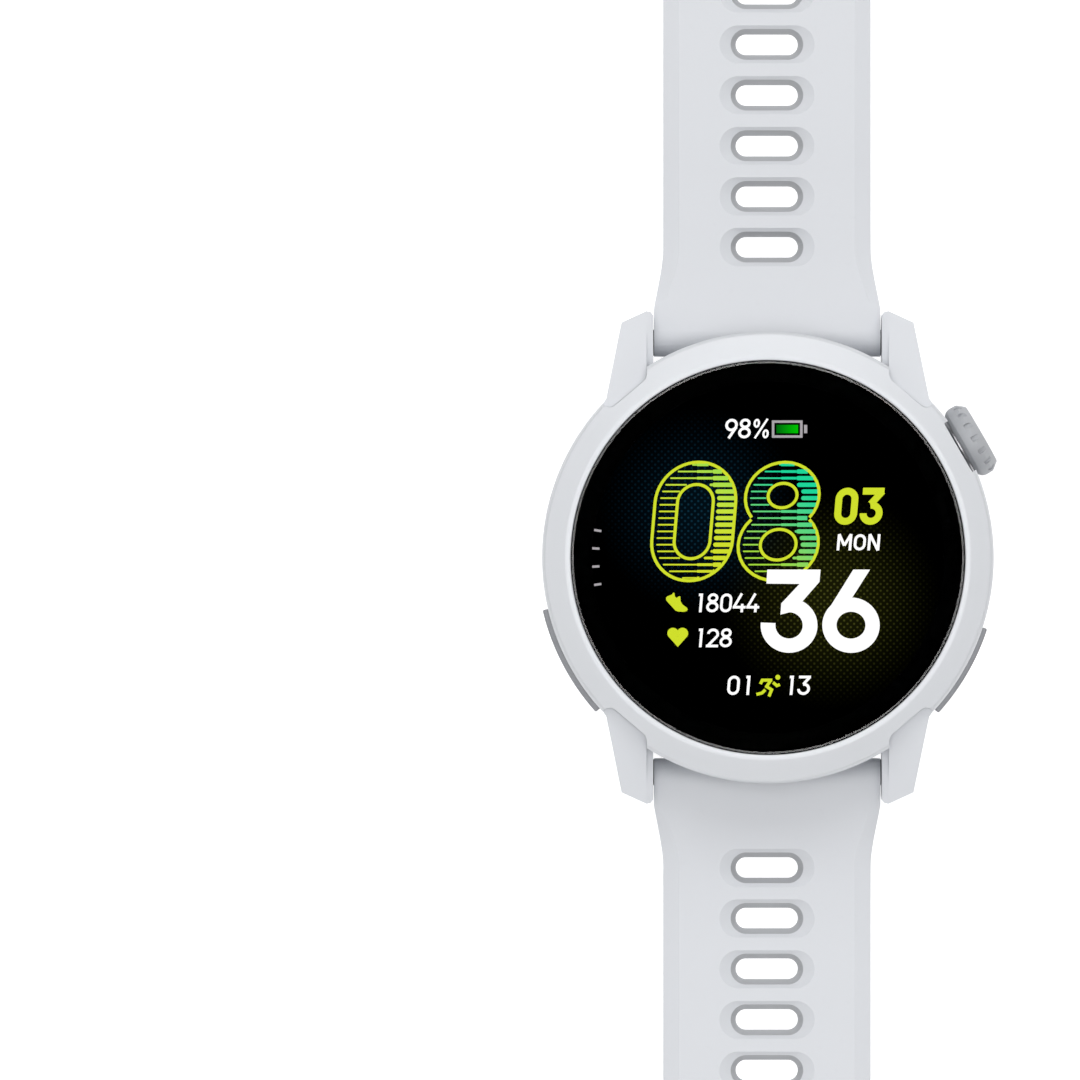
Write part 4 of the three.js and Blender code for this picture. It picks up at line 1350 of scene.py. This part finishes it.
shoe = inked([(-9.79, -3.88), (-9.68, -3.74), (-9.2, -3.55), (-9.1, -3.37), (-8.98, -3.41),
              (-8.93, -3.77),
              (-8.76, -3.88), (-8.54, -3.72), (-8.41, -3.74), (-8.39, -4.18), (-8.24, -4.47),
              (-8.02, -4.66),
              (-7.76, -4.84), (-7.71, -5.02), (-7.84, -5.17), (-8.13, -5.22), (-8.65, -5.19),
              (-8.87, -5.1),
              (-9.75, -4.14)])
runner_bars = [
    ((0.42, -11.78), (-0.62, -11.78)), ((-0.5, -11.7), (-0.72, -12.15)),
    ((0.3, -11.75), (-0.2, -12.5)),
    ((-0.2, -12.35), (0.45, -12.75)), ((0.4, -12.6), (0.1, -13.35)),
    ((-0.25, -12.7), (-0.55, -13.0)),
    ((-0.5, -13.0), (-1.1, -13.15)), ((0.5, -12.0), (0.85, -12.3)), ((0.75, -12.35), (1.15, -12.2)),
]
runner = [bar(start, end, 0.29) for start, end in runner_bars]
runner.append(inked(oval((0.95, -11.5), (0.24, 0.24), 0, 350)))
on_dial("yellow_figures", together([date, *heart, shoe, *runner]), lit_yellow)
frame_parts = [bar((0.38, y), (3.33, y), 0.24) for y in (11.62, 13.05)]
frame_parts += [bar((x, 11.74), (x, 12.93), 0.24) for x in (0.5, 3.21)]
frame_parts.append(bar((3.62, 11.94), (3.62, 12.74), 0.31))
ticks = [moved(bar((-17.75, 0), (-16.2, 0), 0.22), turn=angle) for angle in (-9, -3, 3, 9)]
on_dial("battery_sign", together(frame_parts), lit_grey)
on_dial("border_ticks", together(ticks), lit_grey)
on_dial("battery_charge", inked([(0.81, 11.94), (2.9, 11.94), (2.9, 12.74), (0.81, 12.74)]),
         lit_charge)

# %% [markdown]
# ## Crown and buttons
#
# The crown is turned like the bezel, then grooved all round like a gear so that a wet finger can
# turn it. The two buttons are curved blocks with soft edges that follow the case. All are laid
# outwards along the radius at their own angle.

# %% Crown
CROWN_PROFILE = [(0, 23.62), (1.9, 23.62), (2.2, 23.76), (2.9, 23.8), (3.05, 23.73), (3.56, 23.1),
                 (3.63, 22.95), (3.62, 22.2), (3.5, 21.85), (3.25, 21.6), (2.95, 21.45),
                 (1.25, 21.43),
                 (1.25, 23.05), (0, 23.05)]
NECK_PROFILE = [(1.62, 21.2), (2.75, 21.2), (2.85, 21.27), (2.85, 21.42), (1.62, 21.42)]


def crown_grooves(count=16):
    grooves = []
    for index in range(count):
        groove = block((3.3, -0.26, 22.6), (4.2, 0.26, 23.45))
        soften(groove, 0.12, segments=3)
        grooves.append(moved(groove, turn=360 * index / count))
    return together(grooves)


knob = carved(spun(CROWN_PROFILE, 128), [crown_grooves()])
tidy(knob, 0.004)
finished("crown_grip", at_crown(knob), "crown", crown_metal, ["crown_knob"],
         smooth=20)
# A neck under the crown, made of dark steel so that it paints the shade in the band between the
# crown and the case.
finished("crown_neck_shade", at_crown(spun(NECK_PROFILE, 96)), "crown", pin_steel)


# %% Buttons
CAP_RADII, CAP_HALF_HEIGHT, CAP_EDGE = (20.95, 22.23), 1.3, 0.16


def button_cap(middle, span):
    low, high = BUTTON_HEIGHT - CAP_HALF_HEIGHT, BUTTON_HEIGHT + CAP_HALF_HEIGHT
    return soften(sector(*CAP_RADII, middle, span, low, high), CAP_EDGE, segments=3)


for name, (angle, span) in (("back_button", BACK_BUTTON), ("action_button", ACTION_BUTTON)):
    finished(f"{name}_face", button_cap(angle, span), name, button_metal,
             [f"{name}_cap"])

# %% [markdown]
# ## Buckle
#
# The buckle is a cast U: two arms on the pin, and a bowed bar in which the tang rests. Like the
# lugs it is drawn from above and from the side, and the two extrusions are intersected. The bevel
# after that gives it the rounded, tumbled edge of a casting.

# %% Buckle frame
def buckle_frame():
    pin_y = BUCKLE_PIN.y
    right = [(11.85, pin_y - 1.55), (11.85, 112.6)]
    right += bezier(right[-1], (11.85, 115.2), (9.6, 115.95), (7.6, 116.28), 10)
    right += bezier(right[-1], (5.0, 116.6), (2.6, 116.74), (0, 116.74), 8)
    inner = [(10.35, pin_y - 2.0), (10.1, pin_y - 1.7), (10.1, 111.2)]
    inner += bezier(inner[-1], (10.1, 112.6), (9.1, 113.2), (7.9, 113.42), 8)
    inner += bezier(inner[-1], (6.2, 113.7), (4.2, 113.85), (2.85, 113.87), 6)
    inner += [(2.85, 115.1)]
    left = [(-x, y) for x, y in right[-2::-1]]
    inner_left = [(-x, y) for x, y in inner]
    plan = right + left + inner_left + inner[::-1]
    body = extruded([(x, y, -1) for x, y in plan], (0, 0, 6))
    side = [(99.9, 0.9), (100.3, 0.45), (101.1, 0.2), (pin_y, 0.1)]
    side += [(pin_y + 10.8 * t, 0.1 + 2 * t * (1 - t) * 0.65) for t in (0.1, 0.25, 0.4, 0.55, 0.7,
            0.85, 1)]
    side += [(117, 0.1), (117, 2.2), (116.6, 2.68), (116, 2.92), (115, 3.0), (113, 2.95)]
    side += [(113 - 10.8 * t, 2.95 + 0.05 * t - 2 * t * (1 - t) * 0.67) for t in (0.15, 0.3, 0.45,
            0.6, 0.75, 0.9, 1)]
    side += [(101.0, 2.95), (100.2, 2.7), (99.9, 2.3)]
    body = carved(body, [extruded([(-13, y, z) for y, z in side], (26, 0, 0))], "INTERSECT")
    tidy(body, 0.01)
    soften(body, 0.28, segments=4)
    seat = block((-2.85, 113.82, 0.12), (2.85, 115.35, 1.6))
    body = carved(body, [seat], "UNION")
    return carved(body, [rod(0.66, (-11.2, *BUCKLE_PIN.yz), (11.2, *BUCKLE_PIN.yz))])


finished("buckle_casting", buckle_frame(), "buckle", buckle_metal,
         ["buckle_frame"], smooth=35)


# %% Tang and the pin's sleeves
def tang():
    side = arc((0, 0), 1.55, 22, 338, 36)
    side += [(2.6, -0.62)] + bezier((2.6, -0.62), (6.0, -0.75), (8.0, -0.05), (10.4, 0.2), 10)
    side += [(12.6, 0.24), (12.78, 0.4), (12.8, 1.05), (12.6, 1.26), (11.7, 1.4)]
    side += bezier((11.7, 1.4), (8.5, 1.3), (6.0, 0.45), (2.6, 0.5), 10)
    body = extruded([(-2.6, y, z) for y, z in side], (5.2, 0, 0))
    soften(body, 0.22, sharper_than=50, segments=4)
    body = carved(body, [rod(BAR_BORE, (-4, 0, 0), (4, 0, 0))])
    return moved(body, BUCKLE_PIN)


def sleeve(half_length):
    profile = rounded_corner([(0.55, -half_length), (0.85, -half_length), (0.85, half_length),
                              (0.55, half_length)],
                             0.1)
    return moved(spun(profile, 48), turn=90, axis="Y")


finished("tang_strip", tang(), "tang", buckle_metal, ["buckle_tang"], smooth=35)
finished("buckle_pin_sleeve", moved(sleeve(9.5), BUCKLE_PIN), "upper_strap",
         pin_steel,
         ["buckle_bar_tube"])

# %% [markdown]
# ## Rear side
#
# Four screws hold the rear cover. In its middle the black sensor window rises a little to touch
# the skin. Below it four gold contacts sit in a black block for charging. The cover and the
# window are turned; the screw recesses and the charging slot are cut. Shallow round and square
# windows in the black glass mark where the lights and the light sensors are.

# %% Rear cover
BOSS_RADIUS = 17.0
BOSS_ANGLES = (45, 135, 225, 315)


def at_boss(angle):
    return BOSS_RADIUS * math.cos(math.radians(angle)), BOSS_RADIUS * math.sin(math.radians(angle))


COVER_PROFILE = [(9, 1.35), (10.1, 1.35), (10.1, 0.45), (13.5, 0.45), (14.5, 1.4), (19.4, 1.4),
                 (19.4, 2.55), (9, 2.55)]
cover_tools = [moved(stacked([(7.9, 2.3, 0.5), (7.9, 2.3, 3)]), (0, -15.9, 0))]
for angle in BOSS_ANGLES:
    x, y = at_boss(angle)
    cover_tools.append(rod(1.38, (x, y, 1), (x, y, 2.12)))
    cover_tools.append(rod(0.7, (x, y, 1), (x, y, 3)))
cover = carved(spun(rounded_corner(COVER_PROFILE, 0.15)), cover_tools)
tidy(cover, 0.01)
soften(cover, 0.1, segments=2, keep=lambda e: not on_turned_edge(e))
finished("rear_cover_moulding", cover, "case", case_polymer, ["rear_cover"],
         smooth=50)

# %% Sensor window
WINDOW_PROFILE = [(0, 0.0), (7.9, 0.0), (8.6, 0.03), (9.15, 0.12), (9.6, 0.28), (9.88, 0.45),
                  (10, 0.65), (10, 1.3),
                  (0, 1.3)]
LENS_SPOTS = [(4.9 * math.cos(a),
               4.9 * math.sin(a)) for a in (math.pi / 4 + i * math.pi / 2 for i in range(4))]
square_windows = []
round_windows = []
for x, y in LENS_SPOTS:
    pane = block((-1.25, -1.25, -0.1), (1.25, 1.25, 0.04))
    soften(pane, 0.35, segments=4, keep=lambda e: abs(e.verts[0].co.z - e.verts[1].co.z) > 0.05)
    square_windows.append(moved(moved(pane, turn=math.degrees(math.atan2(y, x))), (x, y, 0)))
for x, y in ((0, 0), (-2.3, 0), (2.3, 0)):
    round_windows.append(rod(0.85, (x, y, -0.1), (x, y, 0.04)))
window = carved(spun(WINDOW_PROFILE), [together(square_windows + round_windows)])
finished("sensor_glass", window, "case", sensor_black, ["sensor_window"],
         smooth=30)

# %% Rear screws
for index, angle in enumerate(BOSS_ANGLES):
    shank = spun([(0, 1.45), (0.95, 1.45), (1.2, 1.52), (1.3, 1.66), (1.3, 2.08), (0.6, 2.08),
                  (0.6, 5.2), (0, 5.2)],
                 48)
    socket = rod(0.6, (0, 0, 1), (0, 0, 1.85), 6)
    screw = moved(carved(shank, [socket]), (*at_boss(angle), 0))
    finished(f"cover_screw_{index + 1}", screw, "case", pin_steel,
             [f"rear_screw_{index + 1}"],
             smooth=30)

# %% Count the pieces and faces
print(sum(pieces_made.values()), "faces in", len(pieces_made), "pieces")
